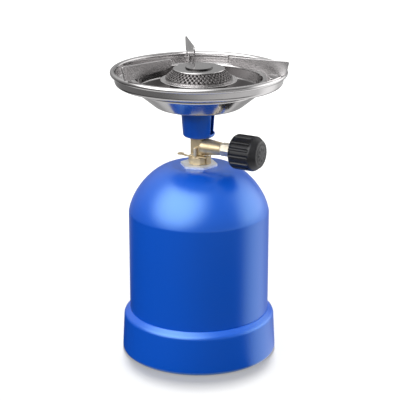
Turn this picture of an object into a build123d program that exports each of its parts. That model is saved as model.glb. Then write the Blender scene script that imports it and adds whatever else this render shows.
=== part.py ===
"""Portable gas stove for a pierceable cartridge.

A pressed base cup holds the cartridge. The domed shell pushes over its neck and carries the
screw-down valve unit, with the burner, the bowl and three pot supports on top.
Z is the axis of the shell and cartridge, with zero on the table. All sizes are in millimetres.
"""
import os
from math import asin, atan2, cos, degrees, radians, sin, sqrt

from build123d import *

CUT_OVERRUN = 1.0
RUNNING_CLEARANCE = 0.05
SEAT_GAP = 0.05
FIT_GAP = 0.1

# Base cup
BASE_FOOT_FLARE = 5.45
BASE_SHOULDER_FLARE = 4.05
BASE_SEAT_HEIGHT = 30.0
BASE_SHOULDER_DROP = 3.2
BASE_NECK_HEIGHT = 13.0
SHELL_FOOT_GAP = 0.3
BASE_SHEET = 0.8
BASE_FLOOR_RISE = 4.0
BASE_FOOT_RING_WIDTH = 6.0
BASE_FOOT_SLOPE = 3.0
BASE_CORNER = 2.6
BASE_SHOULDER_CORNER = 3.6
BASE_FOOT_BEND = 1.5
BASE_SEAT_BEND = 1.2
BASE_NECK_BEND = 0.3

# Domed shell
SHELL_RADIUS = 47.75
SHELL_SHEET = 0.8
SHELL_SPRING_HEIGHT = 100.0
DOME_RISE = 31.8
DOME_FLAT_RADIUS = 17.4
DOME_SIDE_LEAN = 2.8
DOME_SIDE_SHARE = 0.502
DOME_CROWN_SHARE = 0.38

# Gas cartridge
CAN_SIDE_GAP = 2.35
CAN_HEAD_GAP = 18.3
CAN_SHEET = 0.5
CAN_SEAM_DROP = 17.2
CAN_BEAD_RADIUS = 0.5
CAN_SHOULDER_DROP = 4.2
CAN_SHOULDER_RADIUS = 20.0
CAN_TOP_RADIUS = 12.0
CAN_FLOOR_RISE = 5.0
CAN_BEND = 3.0

# Screw-down stem, needle and cartridge seal
STEM_RADIUS = 6.0
STEM_FOOT_RADIUS = 9.5
STEM_FOOT_THICKNESS = 2.4
GAS_WAY_RADIUS = 1.0
NEEDLE_RADIUS = 1.4
NEEDLE_REACH = 6.0
NEEDLE_POINT = 2.6
NEEDLE_SOCKET = 6.0
SEAL_RADIUS = 9.0
SEAL_THICKNESS = 3.0

# Threaded bush in the dome
BUSH_FLATS = 22.6
BUSH_CORNER = 1.6
BUSH_HEAD_THICKNESS = 1.5
BUSH_SHANK_RADIUS = 9.0
BUSH_SHANK_LENGTH = 15.0
BUSH_TURN = -13.0
BUSH_NUT_FLATS = 24.0
BUSH_NUT_THICKNESS = 5.0

# Hex nut of the valve unit
UNIT_NUT_FLATS = 13.3
UNIT_NUT_THICKNESS = 5.1
UNIT_NUT_TURN = -22.0
UNIT_NUT_BEVEL = 0.5

# Valve body
ARM_TURN = -29.0
ARM_RISE = 5.3
BLOCK_WIDTH = 8.5
BLOCK_BEVEL = 0.8
BLOCK_HEIGHT = 12.0
NECK_RADIUS = 3.5
NECK_LENGTH = 1.55
ARM_ROOT_RADIUS = 5.8
ARM_TIP_RADIUS = 4.2
ARM_LENGTH = 17.6
SPINDLE_BORE_REACH = 5.0
SEAL_POCKET_RADIUS = 3.2
SEAL_POCKET_DEPTH = 4.5
SPIGOT_RADIUS = 4.0
SPIGOT_LENGTH = 4.0

# Gland nut, spindle and knob
GLAND_FLATS = 7.2
GLAND_LENGTH = 9.6
GLAND_BEVEL = 0.5
SPINDLE_RADIUS = 2.1
SPINDLE_POINT = 2.6
O_RING_SECTION = 0.5
KNOB_OVERLAP = 0.6
KNOB_BORE_DEPTH = 16.0
KNOB_LENGTH = 20.2
KNOB_RADIUS = 11.7
KNOB_BACK_ROUND = 3.2
KNOB_FACE_RADIUS = 8.6
KNOB_BEVEL_LENGTH = 4.2
KNOB_FACE_ROUND = 2.0
KNOB_BACK_RECESS_RADIUS = 7.4
KNOB_BACK_RECESS_DEPTH = 3.6
KNOB_FLUTES = 16
KNOB_FLUTE_RADIUS = 1.3
KNOB_FLUTE_DEPTH = 0.85
KNOB_FLUTE_END = 14.4
KNOB_CAP_RADIUS = 6.6
KNOB_CAP_DEPTH = 1.4
KNOB_CAP_CROWN = 0.9
INSERT_RADIUS = 3.6

# Catch lever and its pin
LEVER_THICKNESS = 0.8
LEVER_LIFT = 0.2
LEVER_WIDTH = 3.4
LEVER_ARM_WIDTH = 1.8
LEVER_PIN_X = -2.55
LEVER_PIN_Y = -4.85
PIN_RADIUS = 1.2
PIN_LENGTH = 6.55
LEVER_EYE_X = -12.2
LEVER_EYE_Y = 2.6
LEVER_EYE_RADIUS = 2.3
LEVER_EYE_HOLE = 1.1
LEVER_BEND_X = -8.3
LEVER_BEND_Y = -2.2
LEVER_TIP_X = 4.6
LEVER_TIP_Y = -7.2
TAB_GAP = 0.5
TAB_WIDTH = 3.6
TAB_SHIFT = 2.4
TAB_DROP = 5.0

# Air cup and jet
CUP_SHEET = 0.8
CUP_HEIGHT = 20.3
CUP_FOOT_RADIUS = 10.6
CUP_TOP_RADIUS = 12.0
CUP_CORNER = 2.0
CUP_RIM_HEIGHT = 2.0
CUP_RIM_BEND = 2.0
CUP_HOLE_GAP = 0.05
WINDOW_START = -46.0
WINDOW_END = 24.0
WINDOW_SILL = 2.4
WINDOW_HEAD = 2.6
JET_FLATS = 5.6
JET_LENGTH = 5.0
JET_NOSE_RADIUS = 1.8
JET_NOSE_LENGTH = 2.0
JET_ORIFICE = 0.4

# Bowl
BOWL_SHEET = 0.6
BOWL_WALL_RADIUS = 56.0
BEAD_RADIUS = 1.75
BEAD_RISE = 23.65
GUTTER_RISE = 15.8
GUTTER_WIDTH = 9.4
RIDGE_TOP_WIDTH = 2.3
RIDGE_SLOPE = 1.7
RIDGE_RISE = 19.6
PAN_WALL_RISE = 10.6
PAN_WALL_LEAN = 0.4
PAN_FOOT_LEAN = 10.9
PAN_FOOT_BEND = 6.0
PAN_WALL_BEND = 7.0
RIDGE_BEND = 0.9
GUTTER_BEND = 1.2
GUTTER_CORNER = 2.4

# Mixing tube and the nut that clamps the bowl
TUBE_RADIUS = 6.5
TUBE_SHEET = 0.8
COLLAR_RADIUS = 9.0
COLLAR_THICKNESS = 1.2
TUBE_RISE = 7.6
BOWL_NUT_FLATS = 18.0
BOWL_NUT_THICKNESS = 3.0

# Burner
BURNER_SHEET = 0.6
BURNER_FLOOR_RISE = 6.2
BURNER_FLOOR_LEAN = 6.6
BURNER_FLANGE_WIDTH = 3.6
BURNER_FLANGE_RADIUS = 25.2
BURNER_FLANGE_RISE = 18.0
BURNER_BEND = 3.0
FLANGE_BEND = 0.8
RING_FOOT_INSET = 2.8
RING_LEAN = 6.0
RING_HEIGHT = 5.6
RING_SHEET = 0.6
RING_ROWS = 4
RING_HOLES = 44
RING_HOLE_RADIUS = 0.7
CAP_OVERHANG = 0.8
CAP_THICKNESS = 1.0
CAP_RECESS_RADIUS = 8.6
CAP_RECESS_DEPTH = 1.2

# Pot supports
SUPPORT_RIGHT_ANGLE = -21.0
SUPPORT_BACK_ANGLE = 99.0
SUPPORT_LEFT_ANGLE = 219.0
SUPPORT_SHEET = 1.0
SUPPORT_RISE = 9.9
SUPPORT_TIP_REACH = 6.7
SUPPORT_HEEL_REACH = 4.2
SUPPORT_HEEL_GAP = 0.3
FINGER_OVERLAP = 2.9
FINGER_DEPTH = 5.6
FINGER_ROOT_LENGTH = 6.5
FINGER_ROOT_DROP = 2.6
SUPPORT_ROOT_INSET = 8.5
SUPPORT_ROOT_CORNER = 5.0
FINGER_ROUND = 2.5
TIP_ROUND = 1.2
SUPPORT_BEND = 5.0
SUPPORT_FLANGE_ANGLE = 25.0
SUPPORT_FLANGE_HEIGHT = 7.0
SUPPORT_SEAT_GAP = 0.05
SUPPORT_OFFSET = 0.6

# Heights, each built up from the piece below
shell_top = SHELL_SPRING_HEIGHT + DOME_RISE
bush_top = shell_top + BUSH_HEAD_THICKNESS
bush_foot = bush_top - BUSH_SHANK_LENGTH
unit_nut_low = bush_top + SEAT_GAP
unit_nut_top = unit_nut_low + UNIT_NUT_THICKNESS
block_foot = unit_nut_top + NECK_LENGTH
block_top = block_foot + BLOCK_HEIGHT
arm_height = block_foot + ARM_RISE
cup_foot = block_top + SEAT_GAP
cup_top = cup_foot + CUP_HEIGHT
pan_height = cup_top + SEAT_GAP
gutter_height = pan_height + GUTTER_RISE
bead_height = pan_height + BEAD_RISE
burner_floor = pan_height + BURNER_FLOOR_RISE
flange_height = pan_height + BURNER_FLANGE_RISE
ring_low = flange_height + BURNER_SHEET
ring_high = ring_low + RING_HEIGHT

# Distances along the arm
gland_end = ARM_LENGTH + GLAND_LENGTH
knob_start = gland_end - KNOB_OVERLAP
knob_end = knob_start + KNOB_LENGTH
spindle_end = knob_start + KNOB_BORE_DEPTH


def revolved(face):
    """Turn a face drawn in the XZ plane once round the Z axis."""
    return revolve(Plane.XZ * face, Axis.Z)


def pressed_sheet(points, bends, sheet, side):
    """A pressed sheet of even thickness, from its outer line of radius and height points."""
    line = FilletPolyline(*points, radius=bends)
    return revolved(make_face(offset(line, amount=sheet, side=side)))


def tube(outer, inner, low, high):
    """A round tube on the Z axis, or a plain round bar where the inner radius is zero."""
    ring = Circle(outer)
    if inner:
        ring = ring - Circle(inner)
    return Pos(0, 0, low) * extrude(ring, amount=high - low)


def hex_nut(flats, bore, low, high, turn, bevel):
    """A hexagonal nut on the Z axis with its corners turned off at both ends."""
    corner = flats / sqrt(3)
    body = Pos(0, 0, low) * extrude(RegularPolygon(corner, 6, rotation=turn), amount=high - low)
    profile = Polyline((0, low), (flats / 2, low), (corner, low + bevel), (corner, high - bevel),
                       (flats / 2, high), (0, high), close=True)
    body = body & revolved(make_face(profile))
    return body - tube(bore, 0, low - CUT_OVERRUN, high + CUT_OVERRUN)


def on_arm(shape):
    """Lay a shape built upwards on the Z axis along the arm, which points to the knob."""
    return Pos(0, 0, arm_height) * Rot(0, 0, ARM_TURN) * Rot(0, 90, 0) * shape


def sector(outer, inner, start, end, low, high):
    """A slice of a ring between two angles."""
    face = make_face([
        CenterArc((0, 0), inner, start, end - start),
        Line((inner * cos(radians(end)), inner * sin(radians(end))),
             (outer * cos(radians(end)), outer * sin(radians(end)))),
        CenterArc((0, 0), outer, start, end - start),
        Line((inner * cos(radians(start)), inner * sin(radians(start))),
             (outer * cos(radians(start)), outer * sin(radians(start)))),
    ])
    return Pos(0, 0, low) * extrude(face, amount=high - low)


# Base cup: raised floor, foot ring, wall, rounded shoulder and a neck for the shell
shell_inner = SHELL_RADIUS - SHELL_SHEET
neck_radius = shell_inner - FIT_GAP
foot_radius = SHELL_RADIUS + BASE_FOOT_FLARE
foot_ring_inner = foot_radius - BASE_FOOT_RING_WIDTH
base_points = [
    (0, BASE_FLOOR_RISE),
    (foot_ring_inner - BASE_FOOT_SLOPE, BASE_FLOOR_RISE),
    (foot_ring_inner, 0),
    (foot_radius, 0),
    (SHELL_RADIUS + BASE_SHOULDER_FLARE, BASE_SEAT_HEIGHT - BASE_SHOULDER_DROP),
    (SHELL_RADIUS + FIT_GAP, BASE_SEAT_HEIGHT),
    (neck_radius, BASE_SEAT_HEIGHT),
    (neck_radius, BASE_SEAT_HEIGHT + BASE_NECK_HEIGHT),
]
base_bends = [BASE_FOOT_BEND, BASE_FOOT_BEND, BASE_CORNER, BASE_SHOULDER_CORNER,
              BASE_SEAT_BEND, BASE_NECK_BEND]


def make_base_cup():
    return pressed_sheet(base_points, base_bends, BASE_SHEET, Side.LEFT)


# Gas cartridge: a hollow steel can with a seam bead, a domed top and the pierced hole
can_low = BASE_FLOOR_RISE + BASE_SHEET
can_top = bush_foot - CAN_HEAD_GAP
can_radius = shell_inner - CAN_SIDE_GAP
needle_way = NEEDLE_RADIUS + FIT_GAP


def make_gas_cartridge():
    seam = can_top - CAN_SEAM_DROP
    floor_radius = can_radius - CAN_BEND * 3
    can_points = [
        (needle_way, can_top),
        (CAN_TOP_RADIUS, can_top),
        (CAN_SHOULDER_RADIUS, can_top - CAN_SHOULDER_DROP),
        (can_radius, seam),
        (can_radius, can_low),
        (can_radius - CAN_BEND * 2, can_low),
        (floor_radius, can_low + CAN_FLOOR_RISE),
        (0, can_low + CAN_FLOOR_RISE),
    ]
    bends = [CAN_BEND, CAN_BEND, CAN_BEND, CAN_BEND / 2, CAN_BEND / 2, CAN_BEND / 2]
    can = pressed_sheet(can_points, bends, CAN_SHEET, Side.RIGHT)
    return can + revolved(Pos(can_radius, seam - CAN_BEND) * Circle(CAN_BEAD_RADIUS))


# Domed shell: one curve leans in from the wall and runs level into the flat top
def dome_curve(inset):
    side = SHELL_RADIUS - inset
    top = shell_top - inset
    rise = top - SHELL_SPRING_HEIGHT
    width = side - DOME_FLAT_RADIUS
    return Bezier(
        (side, SHELL_SPRING_HEIGHT),
        (side - DOME_SIDE_LEAN, SHELL_SPRING_HEIGHT + rise * DOME_SIDE_SHARE),
        (DOME_FLAT_RADIUS + width * DOME_CROWN_SHARE, top),
        (DOME_FLAT_RADIUS, top),
    )


def make_upper_shell():
    hole = BUSH_SHANK_RADIUS + FIT_GAP
    shell_foot = BASE_SEAT_HEIGHT + SHELL_FOOT_GAP
    under = shell_top - SHELL_SHEET
    wall = Polyline((SHELL_RADIUS, SHELL_SPRING_HEIGHT), (SHELL_RADIUS, shell_foot),
                    (shell_inner, shell_foot), (shell_inner, SHELL_SPRING_HEIGHT))
    crown = Polyline((DOME_FLAT_RADIUS, under), (hole, under), (hole, shell_top),
                     (DOME_FLAT_RADIUS, shell_top))
    return revolved(make_face([dome_curve(0), *wall.edges(), dome_curve(SHELL_SHEET), *crown.edges()]))


# Threaded bush with its hexagonal head on the dome, and the nut inside the dome
bush_bore = STEM_RADIUS + RUNNING_CLEARANCE


def make_threaded_bush():
    head_face = RegularPolygon(BUSH_FLATS / sqrt(3), 6, rotation=BUSH_TURN)
    head_face = fillet(head_face.vertices(), BUSH_CORNER)
    head = Pos(0, 0, shell_top) * extrude(head_face, amount=BUSH_HEAD_THICKNESS)
    shank = tube(BUSH_SHANK_RADIUS, 0, bush_foot, bush_top)
    bore = tube(bush_bore, 0, bush_foot - CUT_OVERRUN, bush_top + CUT_OVERRUN)
    return head + shank - bore


def make_bush_nut():
    top = shell_top - SHELL_SHEET
    return hex_nut(BUSH_NUT_FLATS, BUSH_SHANK_RADIUS + RUNNING_CLEARANCE,
                   top - BUSH_NUT_THICKNESS, top, 0, UNIT_NUT_BEVEL)


# Cartridge seal, stem and needle
seal_low = can_top + SEAT_GAP
seal_high = seal_low + SEAL_THICKNESS
stem_low = seal_high + SEAT_GAP


def make_cartridge_seal():
    return tube(SEAL_RADIUS, needle_way, seal_low, seal_high)


def make_valve_stem():
    stem = tube(STEM_RADIUS, 0, stem_low, unit_nut_top)
    stem += tube(STEM_FOOT_RADIUS, 0, stem_low, stem_low + STEM_FOOT_THICKNESS)
    stem -= tube(GAS_WAY_RADIUS, 0, stem_low - CUT_OVERRUN, unit_nut_top + CUT_OVERRUN)
    return stem - tube(NEEDLE_RADIUS, 0, stem_low - CUT_OVERRUN, stem_low + NEEDLE_SOCKET)


def make_piercing_needle():
    point = can_top - NEEDLE_REACH
    shoulder = point + NEEDLE_POINT
    top = stem_low + NEEDLE_SOCKET
    profile = Polyline((0, point), (NEEDLE_RADIUS, shoulder), (NEEDLE_RADIUS, top), (0, top), close=True)
    return revolved(make_face(profile))


def make_unit_nut():
    return hex_nut(UNIT_NUT_FLATS, bush_bore, unit_nut_low, unit_nut_top, UNIT_NUT_TURN, UNIT_NUT_BEVEL)


# Valve body: neck, square block and the tapered arm with the spindle bore
def make_valve_body():
    block_face = Rectangle(BLOCK_WIDTH, BLOCK_WIDTH)
    block_face = chamfer(block_face.vertices(), BLOCK_BEVEL)
    body = Rot(0, 0, ARM_TURN) * Pos(0, 0, block_foot) * extrude(block_face, amount=BLOCK_HEIGHT)
    spigot_top = block_top + SPIGOT_LENGTH
    body += tube(NECK_RADIUS, 0, unit_nut_top, block_foot)
    body += tube(SPIGOT_RADIUS, 0, block_top, spigot_top)
    root = BLOCK_WIDTH / 2 - BLOCK_BEVEL
    arm = Polyline((0, root), (ARM_ROOT_RADIUS, root), (ARM_ROOT_RADIUS, BLOCK_WIDTH / 2 + BLOCK_BEVEL),
                   (ARM_TIP_RADIUS, ARM_LENGTH), (0, ARM_LENGTH), close=True)
    body += on_arm(revolved(make_face(arm)))
    body -= on_arm(tube(SPINDLE_RADIUS + FIT_GAP, 0, SPINDLE_BORE_REACH, ARM_LENGTH + CUT_OVERRUN))
    body -= on_arm(tube(SEAL_POCKET_RADIUS, 0, ARM_LENGTH - SEAL_POCKET_DEPTH, ARM_LENGTH + CUT_OVERRUN))
    body -= on_arm(tube(GAS_WAY_RADIUS, 0, 0, SPINDLE_BORE_REACH + CUT_OVERRUN))
    return body - tube(GAS_WAY_RADIUS, 0, unit_nut_top - CUT_OVERRUN, spigot_top + CUT_OVERRUN)


# Gland nut, spindle, O-ring and knob, all built along the arm
def make_gland_nut():
    low = ARM_LENGTH + SEAT_GAP
    return on_arm(hex_nut(GLAND_FLATS, SPINDLE_RADIUS + RUNNING_CLEARANCE, low, gland_end, 0, GLAND_BEVEL))


def make_spindle():
    tip = SPINDLE_BORE_REACH + SEAT_GAP
    profile = Polyline((0, tip), (GAS_WAY_RADIUS / 2, tip), (SPINDLE_RADIUS, tip + SPINDLE_POINT),
                       (SPINDLE_RADIUS, spindle_end), (0, spindle_end), close=True)
    return on_arm(revolved(make_face(profile)))


def make_spindle_o_ring():
    centre = ARM_LENGTH - SEAL_POCKET_DEPTH / 2
    around = SPINDLE_RADIUS + SEAT_GAP + O_RING_SECTION
    return on_arm(revolved(Pos(around, centre) * Circle(O_RING_SECTION)))


def make_control_knob():
    bevel_start = knob_end - KNOB_BEVEL_LENGTH
    recess_floor = knob_start + KNOB_BACK_RECESS_DEPTH
    cap_floor = knob_end - KNOB_CAP_DEPTH
    points = [
        (KNOB_BACK_RECESS_RADIUS, knob_start),
        (KNOB_RADIUS, knob_start),
        (KNOB_RADIUS, bevel_start),
        (KNOB_FACE_RADIUS, knob_end),
        (KNOB_CAP_RADIUS, knob_end),
        (KNOB_CAP_RADIUS, cap_floor),
        (INSERT_RADIUS, cap_floor),
        (INSERT_RADIUS, recess_floor),
        (KNOB_BACK_RECESS_RADIUS, recess_floor),
    ]
    face = make_face(Polyline(*points, close=True))
    corners = {1: KNOB_BACK_ROUND, 2: KNOB_BACK_ROUND, 3: KNOB_FACE_ROUND}
    for index, round_radius in corners.items():
        x, z = points[index]
        corner = face.vertices().sort_by_distance((x, z, 0))[0]
        face = fillet([corner], round_radius)
    knob = revolved(face)
    depth_radius = KNOB_RADIUS - KNOB_FLUTE_DEPTH + KNOB_FLUTE_RADIUS
    flute_end = knob_start + KNOB_FLUTE_END
    flute = tube(KNOB_FLUTE_RADIUS, 0, knob_start - CUT_OVERRUN, flute_end)
    flute += Pos(0, 0, flute_end) * Sphere(KNOB_FLUTE_RADIUS)
    flutes = PolarLocations(depth_radius, KNOB_FLUTES) * flute
    return on_arm(knob - flutes)


def make_knob_insert():
    low = knob_start + KNOB_BACK_RECESS_DEPTH
    return on_arm(tube(INSERT_RADIUS, SPINDLE_RADIUS, low, spindle_end))


def make_knob_cap():
    low = knob_end - KNOB_CAP_DEPTH
    rim = KNOB_CAP_RADIUS - FIT_GAP
    crown_radius = (rim ** 2 + KNOB_CAP_CROWN ** 2) / (2 * KNOB_CAP_CROWN)
    crown_centre = knob_end + KNOB_CAP_CROWN - crown_radius
    sweep = degrees(asin(rim / crown_radius))
    crown = CenterArc((0, crown_centre), crown_radius, 90 - sweep, sweep)
    rest = Polyline((0, knob_end + KNOB_CAP_CROWN), (0, low), (rim, low), (rim, knob_end))
    return on_arm(revolved(make_face(Wire(crown.edges() + rest.edges()))))


# Catch lever: a flat strip with an eye and a turned-down tab, on an upright pin
lever_low = unit_nut_top + LEVER_LIFT


def make_catch_lever():
    eye = (LEVER_EYE_X, LEVER_EYE_Y)
    bend = (LEVER_BEND_X, LEVER_BEND_Y)
    pivot = (LEVER_PIN_X, LEVER_PIN_Y)
    tip = (LEVER_TIP_X, LEVER_TIP_Y)
    face = Pos(*pivot) * Circle(LEVER_WIDTH / 2)
    runs = [(eye, bend, LEVER_ARM_WIDTH), (bend, pivot, LEVER_ARM_WIDTH), (pivot, tip, LEVER_WIDTH)]
    for start, end, width in runs:
        dx = end[0] - start[0]
        dy = end[1] - start[1]
        strip = Rot(0, 0, degrees(atan2(dy, dx))) * Rectangle(sqrt(dx * dx + dy * dy), width)
        face += Pos((start[0] + end[0]) / 2, (start[1] + end[1]) / 2) * strip
    face += Pos(*bend) * Circle(LEVER_ARM_WIDTH / 2)
    face += Pos(*eye) * Circle(LEVER_EYE_RADIUS)
    face += Pos(*tip) * Circle(LEVER_WIDTH / 2)
    face -= Pos(*eye) * Circle(LEVER_EYE_HOLE)
    face -= Pos(*pivot) * Circle(PIN_RADIUS + RUNNING_CLEARANCE)
    lever = extrude(face, amount=LEVER_THICKNESS)
    flat_angle = UNIT_NUT_TURN - 30
    tab_distance = UNIT_NUT_FLATS / 2 + TAB_GAP + LEVER_THICKNESS / 2
    tab = Rot(0, 0, flat_angle) * Pos(tab_distance, TAB_SHIFT, -TAB_DROP) * Box(
        LEVER_THICKNESS, TAB_WIDTH, TAB_DROP + LEVER_THICKNESS, align=(Align.CENTER, Align.CENTER, Align.MIN))
    return Pos(0, 0, lever_low) * (lever + tab)


def make_lever_pin():
    return Pos(LEVER_PIN_X, LEVER_PIN_Y) * tube(PIN_RADIUS, 0, unit_nut_top, unit_nut_top + PIN_LENGTH)


# Air cup with its window, and the jet inside it
def make_air_cup():
    points = [
        (SPIGOT_RADIUS + CUP_HOLE_GAP, cup_foot),
        (CUP_FOOT_RADIUS, cup_foot),
        (CUP_TOP_RADIUS, cup_top - CUP_RIM_HEIGHT),
        (CUP_TOP_RADIUS, cup_top),
    ]
    cup = pressed_sheet(points, [CUP_CORNER, CUP_RIM_BEND], CUP_SHEET, Side.LEFT)
    window = sector(CUP_TOP_RADIUS + CUT_OVERRUN, CUP_FOOT_RADIUS - CUP_CORNER, WINDOW_START, WINDOW_END,
                    cup_foot + WINDOW_SILL, cup_top - WINDOW_HEAD)
    return cup - window


def make_jet():
    low = block_top + SPIGOT_LENGTH
    high = low + JET_LENGTH
    jet = Pos(0, 0, low) * extrude(RegularPolygon(JET_FLATS / sqrt(3), 6), amount=JET_LENGTH)
    jet += tube(JET_NOSE_RADIUS, 0, high, high + JET_NOSE_LENGTH)
    return jet - tube(JET_ORIFICE, 0, low - CUT_OVERRUN, high + JET_NOSE_LENGTH + CUT_OVERRUN)


# Bowl: deep pan, raised ridge, gutter, wall and rolled rim
gutter_inner = BOWL_WALL_RADIUS - GUTTER_WIDTH
ridge_outer = gutter_inner - RIDGE_SLOPE
ridge_inner = ridge_outer - RIDGE_TOP_WIDTH
pan_wall_radius = ridge_inner - PAN_WALL_LEAN


def make_bowl():
    points = [
        (TUBE_RADIUS + FIT_GAP, pan_height),
        (pan_wall_radius - PAN_FOOT_LEAN, pan_height),
        (pan_wall_radius, pan_height + PAN_WALL_RISE),
        (ridge_inner, pan_height + RIDGE_RISE),
        (ridge_outer, pan_height + RIDGE_RISE),
        (gutter_inner, gutter_height),
        (BOWL_WALL_RADIUS, gutter_height),
        (BOWL_WALL_RADIUS, bead_height),
    ]
    bends = [PAN_FOOT_BEND, PAN_WALL_BEND, RIDGE_BEND, RIDGE_BEND, GUTTER_BEND, GUTTER_CORNER]
    line = FilletPolyline(*points, radius=bends)
    bead_x = BOWL_WALL_RADIUS - BOWL_SHEET + BEAD_RADIUS
    face = make_face(offset(line, amount=BOWL_SHEET, side=Side.LEFT))
    return revolved(face + Pos(bead_x, bead_height) * Circle(BEAD_RADIUS))


# Mixing tube with its collar, and the nut that clamps the bowl against the collar
def make_mixing_tube():
    tube_top = pan_height + TUBE_RISE
    tube_foot = pan_height - COLLAR_THICKNESS * 2
    outer = tube(TUBE_RADIUS, 0, tube_foot, tube_top)
    outer += tube(COLLAR_RADIUS, 0, pan_height - COLLAR_THICKNESS, pan_height)
    return outer - tube(TUBE_RADIUS - TUBE_SHEET, 0, tube_foot - CUT_OVERRUN, tube_top + CUT_OVERRUN)


def make_bowl_nut():
    low = pan_height + BOWL_SHEET
    high = low + BOWL_NUT_THICKNESS
    return hex_nut(BOWL_NUT_FLATS, TUBE_RADIUS + RUNNING_CLEARANCE, low, high, 0, UNIT_NUT_BEVEL)


# Burner: pressed lower cup with a flange, perforated cone and polished cap
ring_foot_radius = BURNER_FLANGE_RADIUS - RING_FOOT_INSET
ring_top_radius = ring_foot_radius - RING_LEAN


def make_burner_cup():
    wall_radius = BURNER_FLANGE_RADIUS - BURNER_FLANGE_WIDTH
    points = [
        (TUBE_RADIUS + RUNNING_CLEARANCE, burner_floor),
        (wall_radius - BURNER_FLOOR_LEAN, burner_floor),
        (wall_radius, flange_height),
        (BURNER_FLANGE_RADIUS, flange_height),
    ]
    return pressed_sheet(points, [BURNER_BEND, FLANGE_BEND], BURNER_SHEET, Side.LEFT)


def make_burner_ring():
    cone_shift = RING_SHEET * 2
    profile = Polyline(
        (ring_foot_radius, ring_low), (ring_foot_radius, ring_low + RING_SHEET),
        (ring_top_radius, ring_high), (ring_top_radius - cone_shift, ring_high),
        (ring_foot_radius - cone_shift, ring_low), close=True)
    ring = revolved(make_face(profile))
    slant_rise = RING_HEIGHT - RING_SHEET
    slope = degrees(atan2(slant_rise, RING_LEAN))
    holes = []
    for row in range(RING_ROWS):
        share = (row + 1) / (RING_ROWS + 1)
        radius = ring_foot_radius - RING_LEAN * share
        height = ring_low + RING_SHEET + slant_rise * share
        drill = Pos(radius, 0, height) * Rot(0, 90 - slope, 0) * Cylinder(RING_HOLE_RADIUS, cone_shift * 3)
        for index in range(RING_HOLES):
            holes.append(Rot(0, 0, 360 / RING_HOLES * (index + row / 2)) * drill)
    return ring - holes


def make_burner_cap():
    high = ring_high + CAP_THICKNESS
    edge_radius = ring_top_radius + CAP_OVERHANG
    slope = CAP_RECESS_DEPTH / 2
    dip_inner = CAP_RECESS_RADIUS - slope
    dip_outer = CAP_RECESS_RADIUS + slope
    profile = Polyline(
        (0, ring_high - CAP_RECESS_DEPTH), (dip_inner, ring_high - CAP_RECESS_DEPTH), (dip_outer, ring_high),
        (edge_radius, ring_high), (edge_radius, high - CAP_THICKNESS / 2),
        (edge_radius - CAP_THICKNESS / 2, high), (dip_outer, high),
        (dip_inner, high - CAP_RECESS_DEPTH), (0, high - CAP_RECESS_DEPTH), close=True)
    return revolved(make_face(profile))


# Pot supports: a bent blade each, with a finger over the burner and a flange on the bowl wall
def make_pot_support(angle):
    half = SUPPORT_SHEET / 2
    floor = gutter_height + BOWL_SHEET + SUPPORT_SEAT_GAP
    wall_inner = BOWL_WALL_RADIUS - BOWL_SHEET - SUPPORT_SEAT_GAP
    flange_middle = wall_inner - half
    bend_depth = SUPPORT_OFFSET + SUPPORT_BEND
    bend_end = sqrt(flange_middle ** 2 - bend_depth ** 2)
    bend_start = bend_end - SUPPORT_BEND
    bead_top = bead_height + BEAD_RADIUS
    top = bead_top + SUPPORT_RISE
    heel = bead_top + SUPPORT_HEEL_GAP
    finger_low = top - FINGER_DEPTH
    finger_root = finger_low - FINGER_ROOT_DROP
    finger_inner = BURNER_FLANGE_RADIUS - FINGER_OVERLAP
    root = BOWL_WALL_RADIUS - SUPPORT_ROOT_INSET
    points = [
        (finger_inner, top),
        (BOWL_WALL_RADIUS + SUPPORT_TIP_REACH, top),
        (BOWL_WALL_RADIUS + SUPPORT_HEEL_REACH, heel),
        (bend_start, heel),
        (bend_start, floor),
        (root, floor),
        (root, finger_root),
        (root - FINGER_ROOT_LENGTH, finger_root),
        (finger_inner, finger_low),
    ]
    face = make_face(Polyline(*points, close=True))
    corners = {0: FINGER_ROUND, 1: TIP_ROUND, 6: SUPPORT_ROOT_CORNER, 8: FINGER_ROUND}
    for index, round_radius in corners.items():
        x, z = points[index]
        corner = face.vertices().sort_by_distance((x, z, 0))[0]
        face = fillet([corner], round_radius)
    blade = Pos(0, half - SUPPORT_OFFSET, 0) * extrude(Plane.XZ * face, amount=SUPPORT_SHEET)
    flange_low = floor + GUTTER_CORNER - BOWL_SHEET
    flange_top = floor + SUPPORT_FLANGE_HEIGHT
    bend = Pos(bend_start, -bend_depth, 0) * sector(
        SUPPORT_BEND + half, SUPPORT_BEND - half, 0, 90, flange_low, flange_top)
    flange_start = -degrees(asin(bend_depth / flange_middle))
    flange = sector(flange_middle + half, flange_middle - half, flange_start - SUPPORT_FLANGE_ANGLE,
                    flange_start, flange_low, flange_top)
    return Rot(0, 0, angle) * (blade + bend + flange)


def as_one(shape):
    """A single solid where the shape holds one, so that the file has no empty group."""
    solids = shape.solids()
    return solids[0] if len(solids) == 1 else Compound(children=solids)


makers = {
    "base_cup": make_base_cup,
    "gas_cartridge": make_gas_cartridge,
    "upper_shell": make_upper_shell,
    "threaded_bush": make_threaded_bush,
    "bush_nut": make_bush_nut,
    "cartridge_seal": make_cartridge_seal,
    "valve_stem": make_valve_stem,
    "piercing_needle": make_piercing_needle,
    "unit_nut": make_unit_nut,
    "valve_body": make_valve_body,
    "gland_nut": make_gland_nut,
    "spindle": make_spindle,
    "spindle_o_ring": make_spindle_o_ring,
    "control_knob": make_control_knob,
    "knob_insert": make_knob_insert,
    "knob_cap": make_knob_cap,
    "catch_lever": make_catch_lever,
    "lever_pin": make_lever_pin,
    "air_cup": make_air_cup,
    "jet": make_jet,
    "bowl": make_bowl,
    "mixing_tube": make_mixing_tube,
    "bowl_nut": make_bowl_nut,
    "burner_cup": make_burner_cup,
    "burner_ring": make_burner_ring,
    "burner_cap": make_burner_cap,
}

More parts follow.
